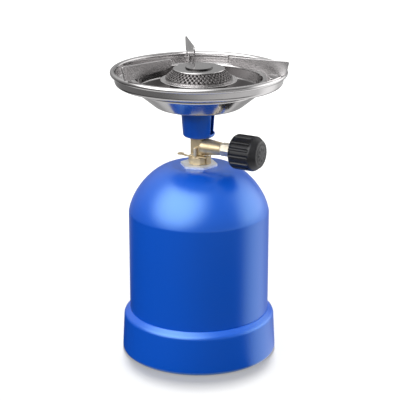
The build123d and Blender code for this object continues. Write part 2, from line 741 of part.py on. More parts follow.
support_angles = {
    "pot_support_right": SUPPORT_RIGHT_ANGLE,
    "pot_support_back": SUPPORT_BACK_ANGLE,
    "pot_support_left": SUPPORT_LEFT_ANGLE,
}

os.makedirs("parts", exist_ok=True)
nodes = {name: as_one(make()) for name, make in makers.items()}
nodes.update({name: as_one(make_pot_support(angle)) for name, angle in support_angles.items()})
for name, solid in nodes.items():
    export_step(solid, f"parts/{name}.step")
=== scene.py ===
"""Portable gas stove: blue pressed shell over a pierceable cartridge, brass valve, steel bowl.

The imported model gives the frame. The pieces here stand for its solids with finer edges and real
finishes. Lengths are in metres, Z is the axis of the shell and zero is the table.
"""

import bmesh
import bpy
import numpy as np
from bpy.props import FloatProperty, FloatVectorProperty, IntProperty, PointerProperty
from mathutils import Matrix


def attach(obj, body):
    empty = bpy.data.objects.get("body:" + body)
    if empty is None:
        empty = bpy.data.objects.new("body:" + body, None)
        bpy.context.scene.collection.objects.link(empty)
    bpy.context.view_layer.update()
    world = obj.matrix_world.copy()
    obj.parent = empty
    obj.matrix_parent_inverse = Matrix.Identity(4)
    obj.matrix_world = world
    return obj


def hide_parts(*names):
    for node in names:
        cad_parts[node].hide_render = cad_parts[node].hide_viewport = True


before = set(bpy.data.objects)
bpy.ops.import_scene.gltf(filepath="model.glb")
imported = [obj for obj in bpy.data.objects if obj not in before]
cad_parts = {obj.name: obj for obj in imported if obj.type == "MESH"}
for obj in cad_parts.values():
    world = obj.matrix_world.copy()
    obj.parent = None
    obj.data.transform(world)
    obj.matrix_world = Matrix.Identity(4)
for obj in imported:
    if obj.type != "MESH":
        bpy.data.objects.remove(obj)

bl_info = {
    "name": "Portable gas stove",
    "version": (1, 0, 0),
    "blender": (4, 5, 0),
    "location": "View3D > Sidebar > Stove",
    "description": "Dresses the frame of a portable gas stove with its pieces, finishes and stage",
    "category": "Add Mesh",
}

MM = 0.001
ROUND = 2 * np.pi
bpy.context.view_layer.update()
UP = (0.0, 0.0, 1.0)
WHITE = (1.0, 1.0, 1.0, 1.0)
SMOOTH = {"interpolation_type": "SMOOTHSTEP"}
BY_COLOUR = {"data_type": "RGBA"}


# Values for the panel

def linear(code):
    """Linear colour of an sRGB hex value."""
    level = np.array([int(code[i:i + 2], 16) / 255 for i in (1, 3, 5)])
    low = level / 12.92
    high = ((level + 0.055) / 1.055) ** 2.4
    return tuple(float(v) for v in np.where(level <= 0.04045, low, high)) + (1.0,)


def length(label, text, size):
    """A distance for a property group, given in millimetres and held in metres."""
    return FloatProperty(name=label, description=text, default=size * MM, min=0.0, precision=5,
                         unit="LENGTH", subtype="DISTANCE")


def angle(label, text, degrees):
    """An angle for a property group, given in degrees and held in radians."""
    return FloatProperty(name=label, description=text, default=float(np.radians(degrees)),
                         unit="ROTATION", subtype="ANGLE")


def share(label, text, value, most=1.0):
    """A plain number from zero to most for a property group."""
    return FloatProperty(name=label, description=text, default=value, min=0.0, max=most,
                         precision=3)


def count(label, text, value):
    """A whole number for a property group."""
    return IntProperty(name=label, description=text, default=value, min=1, max=256)


def colour(label, text, code):
    """A colour for a property group, given as an sRGB hex value."""
    return FloatVectorProperty(name=label, description=text, default=linear(code)[:3], size=3,
                               min=0.0, max=1.0, subtype="COLOR")


class ShellSizes(bpy.types.PropertyGroup):
    """Sizes of the base cup and the domed shell."""
    sheet: length("Sheet", "Thickness of the pressed steel", 0.8)
    foot_radius: length("Foot radius", "Radius of the base cup at the table", 53.2)
    shoulder_radius: length("Shoulder radius", "Radius of the base cup under its shoulder", 51.8)
    shoulder_height: length("Shoulder height", "Height where the shoulder starts", 26.8)
    seat_height: length("Seat height", "Height where the neck of the base starts", 30.0)
    shell_radius: length("Shell radius", "Outer radius of the domed shell", 47.75)
    spring_height: length("Spring height", "Height where the wall turns into the dome", 100.0)
    top_height: length("Top height", "Height of the flat on the dome", 131.8)
    flat_radius: length("Flat radius", "Radius of the flat on the dome", 17.4)
    side_lean: length("Side lean", "How far the start of the dome leans in over its pull", 2.8)
    side_share: share("Side pull", "How far up the dome its curve keeps near the wall", 0.502)
    crown_share: share("Crown pull", "How far out the dome its curve keeps level", 0.38)


class BowlSizes(bpy.types.PropertyGroup):
    """Sizes of the steel bowl."""
    sheet: length("Sheet", "Thickness of the stainless sheet", 0.6)
    wall_radius: length("Wall radius", "Outer radius of the upright wall", 56.0)
    bead_radius: length("Bead radius", "Outer radius of the rolled rim in section", 1.75)
    bead_height: length("Bead height", "Height of the middle of the rolled rim", 196.05)
    pan_height: length("Pan height", "Height of the underside of the pan", 172.4)
    pan_radius: length("Pan radius", "Radius of the pan at its floor", 28.0)
    ridge_height: length("Ridge height", "Height of the ridge between pan and gutter", 192.0)
    gutter_height: length("Gutter height", "Height of the underside of the gutter", 188.2)


class BurnerSizes(bpy.types.PropertyGroup):
    """Sizes of the burner."""
    flange_radius: length("Flange radius", "Outer radius of the lower flange", 25.2)
    flange_height: length("Flange height", "Height of the underside of the flange", 190.4)
    ring_foot: length("Cone foot", "Radius of the perforated cone at its foot", 22.4)
    ring_top: length("Cone top", "Radius of the perforated cone at its top", 16.4)
    ring_height: length("Cone height", "Height of the perforated cone", 6.5)
    rows: count("Rows", "Rows of flame holes", 4)
    holes: count("Holes", "Flame holes in each row", 44)
    hole_radius: length("Hole radius", "Radius of one flame hole", 0.88)
    cap_radius: length("Cap radius", "Radius of the cap over the cone", 17.2)
    dimples: count("Dimples", "Pressed dimples round the flange", 30)


class SupportSizes(bpy.types.PropertyGroup):
    """Sizes of the three pot supports."""
    sheet: length("Sheet", "Thickness of a support", 1.0)
    top_height: length("Top height", "Height of the edge that carries the pot", 207.7)
    tip_radius: length("Tip radius", "Reach of the tip beyond the rim", 62.7)
    edge: length("Edge round", "Rounding of the stamped edges", 0.2)


class ValveSizes(bpy.types.PropertyGroup):
    """Sizes of the valve, its nuts, the catch lever and the air cup."""
    arm_turn: angle("Arm turn", "Direction of the valve arm round the axis", -29.0)
    arm_height: length("Arm height", "Height of the middle of the arm", 145.3)
    block_width: length("Block width", "Width of the square block", 8.5)
    cup_foot: length("Cup foot radius", "Radius of the air cup at its foot", 10.6)
    cup_top: length("Cup top radius", "Radius of the air cup at its top", 12.0)
    window_start: angle("Window start", "First edge of the air window", -46.0)
    window_end: angle("Window end", "Second edge of the air window", 24.0)


class KnobSizes(bpy.types.PropertyGroup):
    """Sizes of the control knob."""
    radius: length("Radius", "Radius of the knob", 11.7)
    start: length("Start", "Distance of the knob's back from the axis", 26.6)
    span: length("Length", "Length of the knob", 20.2)
    flutes: count("Flutes", "Grip grooves round the knob", 16)
    flute_depth: length("Flute depth", "Depth of a grip groove", 0.85)
    flute_radius: length("Flute radius", "Radius of a grip groove in section", 1.3)


class Colours(bpy.types.PropertyGroup):
    """Colours of the finishes."""
    enamel: colour("Enamel", "Baked blue enamel of the shell", "#004EC0")
    gloss: colour("Enamel gloss", "Tint of the light mirrored by the enamel", "#C3F6FF")
    stainless: colour("Stainless", "Drawn stainless steel", "#CBC9C9")
    # Darkened steel: painted shade in the bowl's pan and on the cap's step, and the darker upper
    # side of the cone.
    darkening: colour("Darkened steel", "Stainless steel darkened as painted shade", "#716E6E")
    brass: colour("Brass", "Machined brass", "#E3CFA8")
    nickel: colour("Nickel", "Nickel plate", "#E9E0CC")
    zinc: colour("Zinc", "Bright zinc plate", "#E4E8EE")
    tin: colour("Tinplate", "Tinplate of the cartridge", "#B9BCC0")
    black: colour("Black", "Moulded black plastic", "#18181B")
    rubber: colour("Rubber", "Black rubber", "#151515")


class StageValues(bpy.types.PropertyGroup):
    """Values of the floor, the lamps and the camera."""
    floor: colour("Floor", "Pale floor as the camera sees it", "#F6F6F4")
    floor_size: length("Floor size", "Half width of the floor", 6000.0)
    key_glow: share("Key lamp", "Radiance of the large lamp at the left", 5.0, 50.0)
    side_glow: share("Side lamp", "Radiance of the tall lamp at the right", 5.4, 50.0)
    top_glow: share("Top lamp", "Radiance of the lamp over the stove", 1.5, 100.0)
    floor_glow: share("Floor lamp", "Radiance of the lamp for the floor alone", 420.0, 900.0)
    fill: share("Fill", "Strength of the even light of the room", 0.55, 4.0)
    key_mirror: share("Key glow", "Strength of the reflected glow at the front left", 3.9, 50.0)
    side_mirror: share("Side glow", "Strength of the reflected glow at the right", 1.95, 50.0)
    distance: length("Camera distance", "Distance of the camera in front of the axis", 900.0)
    camera_height: length("Camera height", "Height of the camera over the table", 397.718)
    pitch: angle("Camera pitch", "Angle of the camera below level", 17.909857)
    lens: share("Lens", "Focal length in millimetres", 125.165, 500.0)


# Lines and grids

def unit(vectors):
    """Vectors of length one, each divided by its own length."""
    return vectors / np.linalg.norm(vectors, axis=-1, keepdims=True)


def arc(centre, radius, start, end, steps):
    """Points centre + radius (cos t, sin t), with t from start to end in degrees."""
    t = np.radians(np.linspace(start, end, steps))
    return np.stack([centre[0] + radius * np.cos(t), centre[1] + radius * np.sin(t)], axis=1)


def cubic(p, steps):
    """Points of a cubic curve: (1 - t)^3 p0 + 3 (1 - t)^2 t p1 + 3 (1 - t) t^2 p2 + t^3 p3."""
    p = np.asarray(p, float)
    t = np.linspace(0.0, 1.0, steps)[:, None]
    u = 1 - t
    return u ** 3 * p[0] + 3 * u ** 2 * t * p[1] + 3 * u * t ** 2 * p[2] + t ** 3 * p[3]


def thinned(line):
    """The line without points that repeat the one before."""
    gap = np.linalg.norm(np.diff(line, axis=0), axis=1)
    return line[np.concatenate([[True], gap > 1e-7])]


def rounded(points, radii, steps=9):
    """Line through points with each inner corner turned into an arc.

    With h half the angle at a corner, the arc of radius r touches both runs at r / tan h from the
    corner, and its centre lies at r / sin h on the line that halves the angle.
    """
    p = np.asarray(points, float)
    r = np.asarray(radii, float)
    back = unit(p[:-2] - p[1:-1])
    onward = unit(p[2:] - p[1:-1])
    half = np.arccos(np.clip((back * onward).sum(1), -1.0, 1.0)) / 2
    cut = (r / np.tan(half))[:, None]
    centre = p[1:-1] + unit(back + onward) * (r / np.sin(half))[:, None]
    first = p[1:-1] + back * cut - centre
    last = p[1:-1] + onward * cut - centre
    swing = (np.pi - 2 * half)[:, None, None]
    s = np.linspace(0.0, 1.0, steps)[None, :, None]
    arcs = np.sin((1 - s) * swing) * first[:, None] + np.sin(s * swing) * last[:, None]
    arcs = arcs / np.sin(swing) + centre[:, None]
    return thinned(np.concatenate([p[:1], arcs.reshape(-1, 2), p[-1:]]))


def counter_clockwise(loop):
    """The loop turned so that it runs counter-clockwise, by the sign of its area."""
    x, y = loop[:, 0], loop[:, 1]
    area = (x * np.roll(y, -1) - np.roll(x, -1) * y).sum()
    return loop if area > 0 else loop[::-1]


def ring_rounded(points, radii, steps=7):
    """Counter-clockwise closed line with every corner rounded, as rounded() does for inner ones."""
    p = np.asarray(points, float)
    line = rounded(np.concatenate([p[-1:], p, p[:1]]), radii, steps)
    return counter_clockwise(line[1:-1])


def collar(bore, radius, low, high, edges, steps=5):
    """Section of a collar from bore to radius and from low to high. Its corners are rounded by
    edges, in turn from the low corner at the bore."""
    corners = [(bore, low), (radius, low), (radius, high), (bore, high)]
    return ring_rounded(corners, edges, steps)


def travel(line):
    """Distance along a line at each of its points."""
    return np.concatenate([[0.0], np.cumsum(np.linalg.norm(np.diff(line, axis=0), axis=1))])


def filled(line, step):
    """The line with more points on its long runs, so that none is longer than about step.

    A new point that would fall within a tenth of a step of an old one is left out.
    """
    s = travel(line)
    more = np.arange(step, s[-1], step)
    clear = np.abs(more[:, None] - s).min(axis=1) > step / 10
    knots = np.sort(np.concatenate([s, more[clear]]))
    return np.stack([np.interp(knots, s, line[:, k]) for k in range(line.shape[1])], axis=1)


def left_of(line):
    """Unit normals on the left of a line, from the mean of the runs that meet at each point."""
    runs = unit(np.diff(line, axis=0))
    along = np.concatenate([runs[:1], unit(runs[:-1] + runs[1:]), runs[-1:]])
    return np.stack([-along[:, 1], along[:, 0]], axis=1)


def sheet_section(line, sheet, side, from_axis=False):
    """Section of a pressed sheet. One face is the line, the other lies at sheet to its side.

    side is 1 for left and -1 for right. The two free edges are half circles. A sheet that starts
    on the axis has no edge there.
    """
    middle = line + left_of(line) * side * sheet / 2
    away = left_of(middle) * sheet / 2
    t = np.linspace(0.0, np.pi, 7)[1:-1, None]
    ahead = unit(middle[-1] - middle[-2])
    behind = unit(middle[0] - middle[1])
    far_edge = middle[-1] + np.cos(t) * away[-1] + np.sin(t) * ahead * sheet / 2
    near_edge = middle[0] - np.cos(t) * away[0] + np.sin(t) * behind * sheet / 2
    parts = [middle + away, far_edge, (middle - away)[::-1]]
    loop = np.concatenate(parts if from_axis else parts + [near_edge])
    loop[:, 0] = np.maximum(loop[:, 0], 0.0)
    return counter_clockwise(loop)


def turned(section, steps=160):
    """Grid (r cos t, r sin t, z) of a section of radius r and height z, with t once round."""
    t = np.linspace(0.0, ROUND, steps, endpoint=False)[:, None]
    r, z = section[:, 0], section[:, 1]
    return np.stack([r * np.cos(t), r * np.sin(t), z + 0 * t], axis=-1)


def soft_polygon(t, sides, across, turn, power):
    """Radius of a polygon with soft corners.

    It is the sum of (cos(t - face) / half across) ^ power, all to the power of -1 / power.
    """
    faces = turn + ROUND / sides * np.arange(sides)
    reach = np.maximum(np.cos(t[..., None] - faces), 1e-6) / (across / 2)
    return (reach ** power).sum(-1) ** (-1 / power)


def soft_least(a, b, power=60):
    """The lesser of two radii, changing softly: (a^-power + b^-power)^(-1/power)."""
    scale = np.minimum(a, b)
    return scale * ((a / scale) ** -power + (b / scale) ** -power) ** (-1 / power)


def prism(section, sides, across, turn, power=90, steps=144):
    """Grid of a section held within a soft polygon, as a nut is cut from a turned blank."""
    t = np.linspace(0.0, ROUND, steps, endpoint=False)
    held = soft_polygon(t, sides, across, turn, power)[:, None]
    r = soft_least(section[None, :, 0], held)
    t = t[:, None]
    return np.stack([r * np.cos(t), r * np.sin(t), section[None, :, 1] + 0 * t], axis=-1)


def along_arm(grid):
    """A grid built upwards on Z, laid on the arm: (x, y, z) to z along it, y across and -x up."""
    sizes = bpy.context.scene.stove_valve
    ahead = np.array([np.cos(sizes.arm_turn), np.sin(sizes.arm_turn), 0.0])
    across = np.array([-ahead[1], ahead[0], 0.0])
    x, y, z = grid[..., 0:1], grid[..., 1:2], grid[..., 2:3]
    return z * ahead + y * across + (sizes.arm_height - x) * np.array(UP)


def spun(grid, turn):
    """A grid turned about the Z axis by an angle."""
    c, s = np.cos(turn), np.sin(turn)
    return grid @ np.array([[c, s, 0.0], [-s, c, 0.0], [0.0, 0.0, 1.0]])


def cells(shape, wrap_u, wrap_v, keep=None):
    """Corner numbers of a grid's four-sided faces. A wrapped direction is joined to its start."""
    nu, nv = shape
    number = np.arange(nu * nv).reshape(nu, nv)
    if wrap_u:
        number = np.concatenate([number, number[:1]], axis=0)
    if wrap_v:
        number = np.concatenate([number, number[:, :1]], axis=1)
    quads = np.stack([number[:-1, :-1], number[1:, :-1], number[1:, 1:], number[:-1, 1:]],
                     axis=-1)
    return quads[keep] if keep is not None else quads.reshape(-1, 4)


class Skin:
    """Points and faces gathered for one mesh."""

    def __init__(self):
        self.points = []
        self.faces = []
        self.total = 0

    def add(self, grid, wrap_u=True, wrap_v=True, keep=None):
        """Add a grid of points with its four-sided faces."""
        quads = cells(grid.shape[:2], wrap_u, wrap_v, keep) + self.total
        self.faces.extend(quads.tolist())
        self.points.append(grid.reshape(-1, 3))
        self.total += grid.shape[0] * grid.shape[1]
        return self

    def lid(self, ring):
        """Add one flat face over a ring of points."""
        self.faces.append(list(range(self.total, self.total + len(ring))))
        self.points.append(np.asarray(ring))
        self.total += len(ring)
        return self

    def join(self, part, turn=0.0, shift=0.0):
        """Add another skin, moved by shift along Y and then turned about the Z axis."""
        self.faces.extend([[i + self.total for i in face] for face in part.faces])
        self.points.append(spun(np.concatenate(part.points) + np.array([0.0, shift, 0.0]), turn))
        self.total += part.total
        return self

    def made(self, name):
        """The mesh object, with doubled points merged and its sharp edges marked."""
        mesh = bpy.data.meshes.new(name)
        mesh.from_pydata(np.concatenate(self.points), [], self.faces)
        work = bmesh.new()
        work.from_mesh(mesh)
        bmesh.ops.remove_doubles(work, verts=work.verts, dist=1e-7)
        bmesh.ops.dissolve_degenerate(work, edges=work.edges, dist=1e-8)
        work.to_mesh(mesh)
        work.free()
        mesh.shade_smooth()
        mesh.set_sharp_from_angle(angle=np.radians(40))
        piece = bpy.data.objects.new(name, mesh)
        bpy.context.scene.collection.objects.link(piece)
        return piece


def set_out(piece, body, finish, slot, *nodes):
    """Give a piece its finish, let it ride on its body and stand for its solids; slot is not used.
    """
    piece.data.materials.clear()
    piece.data.materials.append(finish)
    if nodes:
        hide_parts(*nodes)
    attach(piece, body)
    return piece


def plate(outline, half, edge):
    """Skin of a plate on the XZ plane: flat faces at y = half and -half, edges rounded by edge.

    Each ring is the outline moved inwards by edge (1 - cos t) at height half - edge + edge sin t.
    """
    wrapped = np.concatenate([outline[-1:], outline, outline[:1]])
    inward = left_of(wrapped)[1:-1]
    t = np.linspace(np.pi / 2, 0.0, 5)
    inset = np.concatenate([[edge * 1.5], edge * (1 - np.cos(t))])
    level = np.concatenate([[half], half - edge + edge * np.sin(t)])
    inset = np.concatenate([inset, inset[::-1]])
    level = np.concatenate([level, -level[::-1]])
    rings = outline[:, None, :] + inward[:, None, :] * inset[None, :, None]
    grid = np.stack([rings[..., 0], level + 0 * rings[..., 0], rings[..., 1]], axis=-1)
    return Skin().add(grid, True, False).lid(grid[::-1, 0]).lid(grid[:, -1])


def swept(path, half, low, high, edge):
    """Skin of an upright strip: a rounded rectangle, 2 half wide and from low to high, carried
    along a path of x and y points, with each point's section across the path. The section runs
    clockwise as seen from ahead, so that the faces point outwards."""
    section = collar(-half, half, low, high, [edge] * 4)[::-1]
    flat = path[:, None, :] + left_of(path)[:, None, :] * section[None, :, 0:1]
    grid = np.concatenate([flat, section[None, :, 1:2] + 0 * flat[..., :1]], axis=-1)
    return Skin().add(grid, False, True).lid(grid[0]).lid(grid[-1, ::-1])


# Finishes

def add_node(tree, kind, settings=None, **sockets):
    """Add a shader node and set its own settings. Each socket, by its name or as in_ and its
    number, takes a value or the output that is linked to it."""
    node = tree.nodes.new("ShaderNode" + kind)
    for name, value in (settings or {}).items():
        setattr(node, name, value)
    for name, value in sockets.items():
        key = int(name[3:]) if name.startswith("in_") else name.replace("_", " ")
        socket = node.inputs[key]
        if isinstance(value, bpy.types.NodeSocket):
            tree.links.new(value, socket)
        else:
            socket.default_value = value
    return node


def begin(name, **sockets):
    """A new material with its output and its shader, whose sockets take the values given."""
    material = bpy.data.materials.new(name)
    material.use_nodes = True
    tree = material.node_tree
    tree.nodes.clear()
    shader = add_node(tree, "BsdfPrincipled", **sockets)
    add_node(tree, "OutputMaterial", Surface=shader.outputs["BSDF"])
    return material, tree, shader


def per_metre(size):
    """Texture scale whose cells are size millimetres wide."""
    return 1000.0 / size


def toned(value, factor=1.0):
    """A colour with full alpha, made lighter or darker by a factor."""
    return (value[0] * factor, value[1] * factor, value[2] * factor, 1.0)


def around_axis(tree, origin, axis):
    """Radius from an axis, and a vector of that radius and the distance along the axis.

    A texture that reads the vector has one tone for each radius and height, as a turned or spun
    surface has.
    """
    where = add_node(tree, "TexCoord").outputs["Object"]
    moved = add_node(tree, "VectorMath", {"operation": "SUBTRACT"}, in_0=where, in_1=origin)
    along, across = [
        add_node(tree, "VectorMath", {"operation": kind}, in_0=moved.outputs[0], in_1=axis)
        for kind in ("DOT_PRODUCT", "CROSS_PRODUCT")]
    radius = add_node(tree, "VectorMath", {"operation": "LENGTH"}, in_0=across.outputs[0])
    radius = radius.outputs["Value"]
    both = add_node(tree, "CombineXYZ", X=radius, Y=along.outputs["Value"])
    return radius, both.outputs[0]


def surfaced(tree, shader, tones, rough, relief, marks=()):
    """Link what every finish has: colour, roughness and relief, by textures of about 0.3 to 0.7.

    tones is a texture with the colours at its two ends, and each mark is an amount and the colour
    that it lays over them. Each row of rough is a texture with the roughness at its two ends, and
    the rows are added up. relief is a height texture, its depth in metres and its strength.
    """
    low, high = 0.3, 0.7
    texture, tint, other = tones
    spread = add_node(tree, "MapRange", in_0=texture, in_1=low, in_2=high).outputs[0]
    for amount, over in ((spread, other), *marks):
        tint = add_node(tree, "Mix", BY_COLOUR, in_0=amount, in_6=tint, in_7=over).outputs[2]
    gloss, *more = [
        add_node(tree, "MapRange", in_0=texture, in_1=low, in_2=high, in_3=start,
                 in_4=end).outputs[0]
        for texture, start, end in rough]
    for part in more:
        gloss = add_node(tree, "Math", {"operation": "ADD"}, in_0=gloss, in_1=part).outputs[0]
    height, depth, strength = relief
    raised = add_node(tree, "Bump", Strength=strength, Distance=depth, Height=height).outputs[0]
    for key, output in (("Base Color", tint), ("Roughness", gloss), ("Normal", raised)):
        tree.links.new(output, shader.inputs[key])


def baked_enamel(name):
    """Stoved enamel on pressed steel: a deep even blue under a half-gloss film."""
    hues = bpy.context.scene.stove_colours
    material, tree, shader = begin(name, IOR=1.65, Specular_IOR_Level=0.95,
                                   Specular_Tint=toned(hues.gloss))
    where = add_node(tree, "TexCoord").outputs["Object"]
    # The film is sprayed, so its depth of colour drifts over a few centimetres.
    drift = add_node(tree, "TexNoise", Vector=where, Scale=per_metre(38.0), Detail=2.0).outputs[0]
    # Fine orange peel, drawn at 2.2 mm because the real 0.6 mm would not show.
    peel = add_node(tree, "TexNoise", Vector=where, Scale=per_metre(2.2), Detail=1.0).outputs[0]
    surfaced(tree, shader, (drift, toned(hues.enamel), toned(hues.enamel, 0.97)),
             [(drift, 0.28, 0.3)], (peel, 0.02 * MM, 0.6))
    return material


def spun_stainless(name, rough, line, depth, darkest=0.9, darkening=None, dark=1.0, seam=None):
    """Stainless steel drawn or polished in the round: a grey mirror with fine rings.

    line is the space between the rings, in millimetres, and depth their relief. darkening is the
    radius within which the upper side is darkened by the factor dark, which in the bowl's pan is
    painted shade. seam is the radius of a step that gets a dark line of painted shade.
    """
    hues = bpy.context.scene.stove_colours
    material, tree, shader = begin(name, Metallic=1.0)
    radius, rings = around_axis(tree, (0.0, 0.0, 0.0), UP)
    where = add_node(tree, "TexCoord").outputs
    # The polishing rings, and the smears of handling, a finger wide.
    fine = add_node(tree, "TexNoise", Vector=rings, Scale=per_metre(line), Detail=3.0).outputs[0]
    smear = add_node(tree, "TexNoise", Vector=where["Object"], Scale=per_metre(17.0),
                     Detail=1.0).outputs[0]
    marks = []
    if darkening:
        # The upper side within the radius is darkened; in the bowl's pan this is painted shade.
        up = add_node(tree, "SeparateXYZ", Vector=where["Normal"]).outputs["Z"]
        upper = add_node(tree, "MapRange", in_0=up, in_1=-0.1, in_2=0.1).outputs[0]
        fade = darkening - 1.5 * MM
        inner = add_node(tree, "MapRange", in_0=radius, in_1=darkening, in_2=fade).outputs[0]
        both = add_node(tree, "Math", {"operation": "MULTIPLY"}, in_0=upper, in_1=inner)
        marks.append((both.outputs[0], toned(hues.darkening, dark)))
    if seam:
        # A dark line of painted shade round the step at this radius.
        gap = add_node(tree, "Math", {"operation": "SUBTRACT"}, in_0=radius, in_1=seam).outputs[0]
        gap = add_node(tree, "Math", {"operation": "ABSOLUTE"}, in_0=gap).outputs[0]
        step_shade = add_node(tree, "MapRange", in_0=gap, in_1=0.4 * MM, in_2=0.2 * MM).outputs[0]
        marks.append((step_shade, toned(hues.darkening, 0.25)))
    surfaced(tree, shader, (smear, toned(hues.stainless), toned(hues.stainless, darkest)),
             [(fine, -0.02, 0.02), (smear, rough - 0.02, rough + 0.03)], (fine, depth, 0.5), marks)
    return material


def machined_metal(name, base, rough, line, depth, axis=UP, origin=(0.0, 0.0, 0.0), dark=0.8,
                   dull=0.3):
    """Turned or milled metal: tool lines round an axis, and a handled skin that scatters a share
    of the light, dull, where clean metal would mirror all of it.

    line is the space between the tool lines, in millimetres, and depth their relief.
    """
    material, tree, shader = begin(name, Metallic=1.0 - dull)
    rings = around_axis(tree, origin, axis)[1]
    lines = add_node(tree, "TexNoise", Vector=rings, Scale=per_metre(line), Detail=2.0).outputs[0]
    where = add_node(tree, "TexCoord").outputs["Object"]
    stain = add_node(tree, "TexNoise", Vector=where, Scale=per_metre(3.5), Detail=4.0).outputs[0]
    surfaced(tree, shader, (stain, toned(base), toned(base, dark)),
             [(stain, rough - 0.04, rough + 0.08)], (lines, depth, 0.6))
    return material


def moulded_plastic(name, base, rough, grain):
    """Moulded phenolic plastic: near black, satin, with a fine mould grain in millimetres."""
    material, tree, shader = begin(name, IOR=1.5)
    where = add_node(tree, "TexCoord").outputs["Object"]
    fine = add_node(tree, "TexNoise", Vector=where, Scale=per_metre(grain), Detail=2.0).outputs[0]
    wide = add_node(tree, "TexNoise", Vector=where, Scale=per_metre(9.0), Detail=2.0).outputs[0]
    surfaced(tree, shader, (wide, toned(base), toned(base, 1.25)),
             [(fine, rough - 0.05, rough + 0.07)], (fine, 0.04 * MM, 0.4))
    return material


def nitrile_rubber(name, base):
    """Nitrile rubber: matt black with a dusty bloom."""
    material, tree, shader = begin(name)
    where = add_node(tree, "TexCoord").outputs["Object"]
    bloom = add_node(tree, "TexNoise", Vector=where, Scale=per_metre(1.2), Detail=4.0).outputs[0]
    surfaced(tree, shader, (bloom, toned(base), toned(base, 1.8)), [(bloom, 0.6, 0.75)],
             (bloom, 0.03 * MM, 0.3))
    return material


def rolled_tinplate(name, base):
    """Tinplate of the cartridge: bright grey with faint rolling lines up the can."""
    material, tree, shader = begin(name, Metallic=1.0)
    where = add_node(tree, "TexCoord").outputs["Object"]
    along = add_node(tree, "Mapping", Vector=where, Scale=(1.0, 1.0, 0.06)).outputs[0]
    rolled = add_node(tree, "TexNoise", Vector=along, Scale=per_metre(0.9), Detail=3.0).outputs[0]
    surfaced(tree, shader, (rolled, toned(base), toned(base, 0.85)), [(rolled, 0.28, 0.38)],
             (rolled, 0.01 * MM, 0.4))
    return material


def finish(name):
    """A finish by its name, made once and then shared."""
    if name in bpy.data.materials:
        return bpy.data.materials[name]
    hues = bpy.context.scene.stove_colours
    valve = bpy.context.scene.stove_valve
    arm = dict(axis=(np.cos(valve.arm_turn), np.sin(valve.arm_turn), 0.0),
               origin=(0.0, 0.0, valve.arm_height))
    kinds = {
        "baked_blue_enamel": (baked_enamel, {}),
        # The bowl's pan is darkened on its upper side as far as the ridge, as painted shade of its
        # hollow, and the cone is darkened on its upper side all over.
        "drawn_stainless": (spun_stainless, dict(rough=0.15, line=0.7, depth=0.0015 * MM,
                                                 darkening=42.3 * MM, dark=0.5)),
        "fired_stainless": (spun_stainless, dict(rough=0.32, line=0.5, depth=0.006 * MM,
                                                 darkening=1.0)),
        "stamped_stainless": (spun_stainless, dict(rough=0.21, line=0.5, depth=0.001 * MM,
                                                   darkest=0.92)),
        # The cap's step gets a dark line of painted shade.
        "stepped_stainless": (spun_stainless, dict(rough=0.15, line=0.7, depth=0.004 * MM,
                                                   seam=8.95 * MM)),
        "satin_stainless": (spun_stainless, dict(rough=0.32, line=0.5, depth=0.006 * MM,
                                                 darkest=0.92)),
        "machined_brass": (machined_metal, dict(base=hues.brass, rough=0.38, line=0.35,
                                                depth=0.01 * MM, **arm)),
        "nickel_plated_brass": (machined_metal, dict(base=hues.nickel, rough=0.42, line=0.4,
                                                     depth=0.006 * MM, dark=0.9, **arm)),
        "turned_nickel": (machined_metal, dict(base=hues.nickel, rough=0.18, line=0.4,
                                               depth=0.006 * MM)),
        "bright_zinc_plate": (machined_metal, dict(base=hues.zinc, rough=0.46, line=0.4,
                                                   depth=0.006 * MM, dark=0.9, dull=0.5)),
        "moulded_black_plastic": (moulded_plastic, dict(base=hues.black, rough=0.37, grain=0.5)),
        "black_nitrile_rubber": (nitrile_rubber, dict(base=hues.rubber)),
        "bright_tinplate": (rolled_tinplate, dict(base=hues.tin)),
    }
    maker, values = kinds[name]
    return maker(name, **values)


# Pieces

class BuildShell(bpy.types.Operator):
    """Base cup and domed shell in blue enamel"""
    bl_idname = "stove.build_shell"
    bl_label = "Base and shell"

    def execute(self, context):
        s = context.scene.stove_shell
        fit = 0.1 * MM
        neck = s.shell_radius - s.sheet - fit
        neck_top = s.seat_height + 13.0 * MM
        raised = 4.0 * MM
        foot = s.foot_radius - 6.0 * MM
        line = rounded([
            (0.0, raised), (foot - 3.0 * MM, raised), (foot, 0.0), (s.foot_radius, 0.0),
            (s.shoulder_radius, s.shoulder_height), (s.shell_radius + fit, s.seat_height),
            (neck, s.seat_height), (neck, neck_top),
        ], np.array([1.5, 1.5, 2.6, 3.6, 1.2, 0.3]) * MM)
        base = turned(sheet_section(filled(line, 1.5 * MM), s.sheet, 1, from_axis=True), 192)
        piece = Skin().add(base, True, False).made("pressed_base")
        set_out(piece, "base", finish("baked_blue_enamel"), "blue_enamel", "base_cup")

        rise = s.top_height - s.spring_height
        width = s.shell_radius - s.flat_radius
        dome = cubic([
            (s.flat_radius, s.top_height), (s.flat_radius + width * s.crown_share, s.top_height),
            (s.shell_radius - s.side_lean, s.spring_height + rise * s.side_share),
            (s.shell_radius, s.spring_height),
        ], 60)
        bore, gap = 9.1 * MM, 0.3 * MM
        line = np.concatenate([[(bore, s.top_height)], dome,
                               [(s.shell_radius, s.seat_height + gap)]])
        shell = turned(sheet_section(filled(line, 1.5 * MM), s.sheet, -1), 192)
        piece = Skin().add(shell).made("domed_shell")
        set_out(piece, "shell", finish("baked_blue_enamel"), "blue_enamel", "upper_shell")
        return {"FINISHED"}


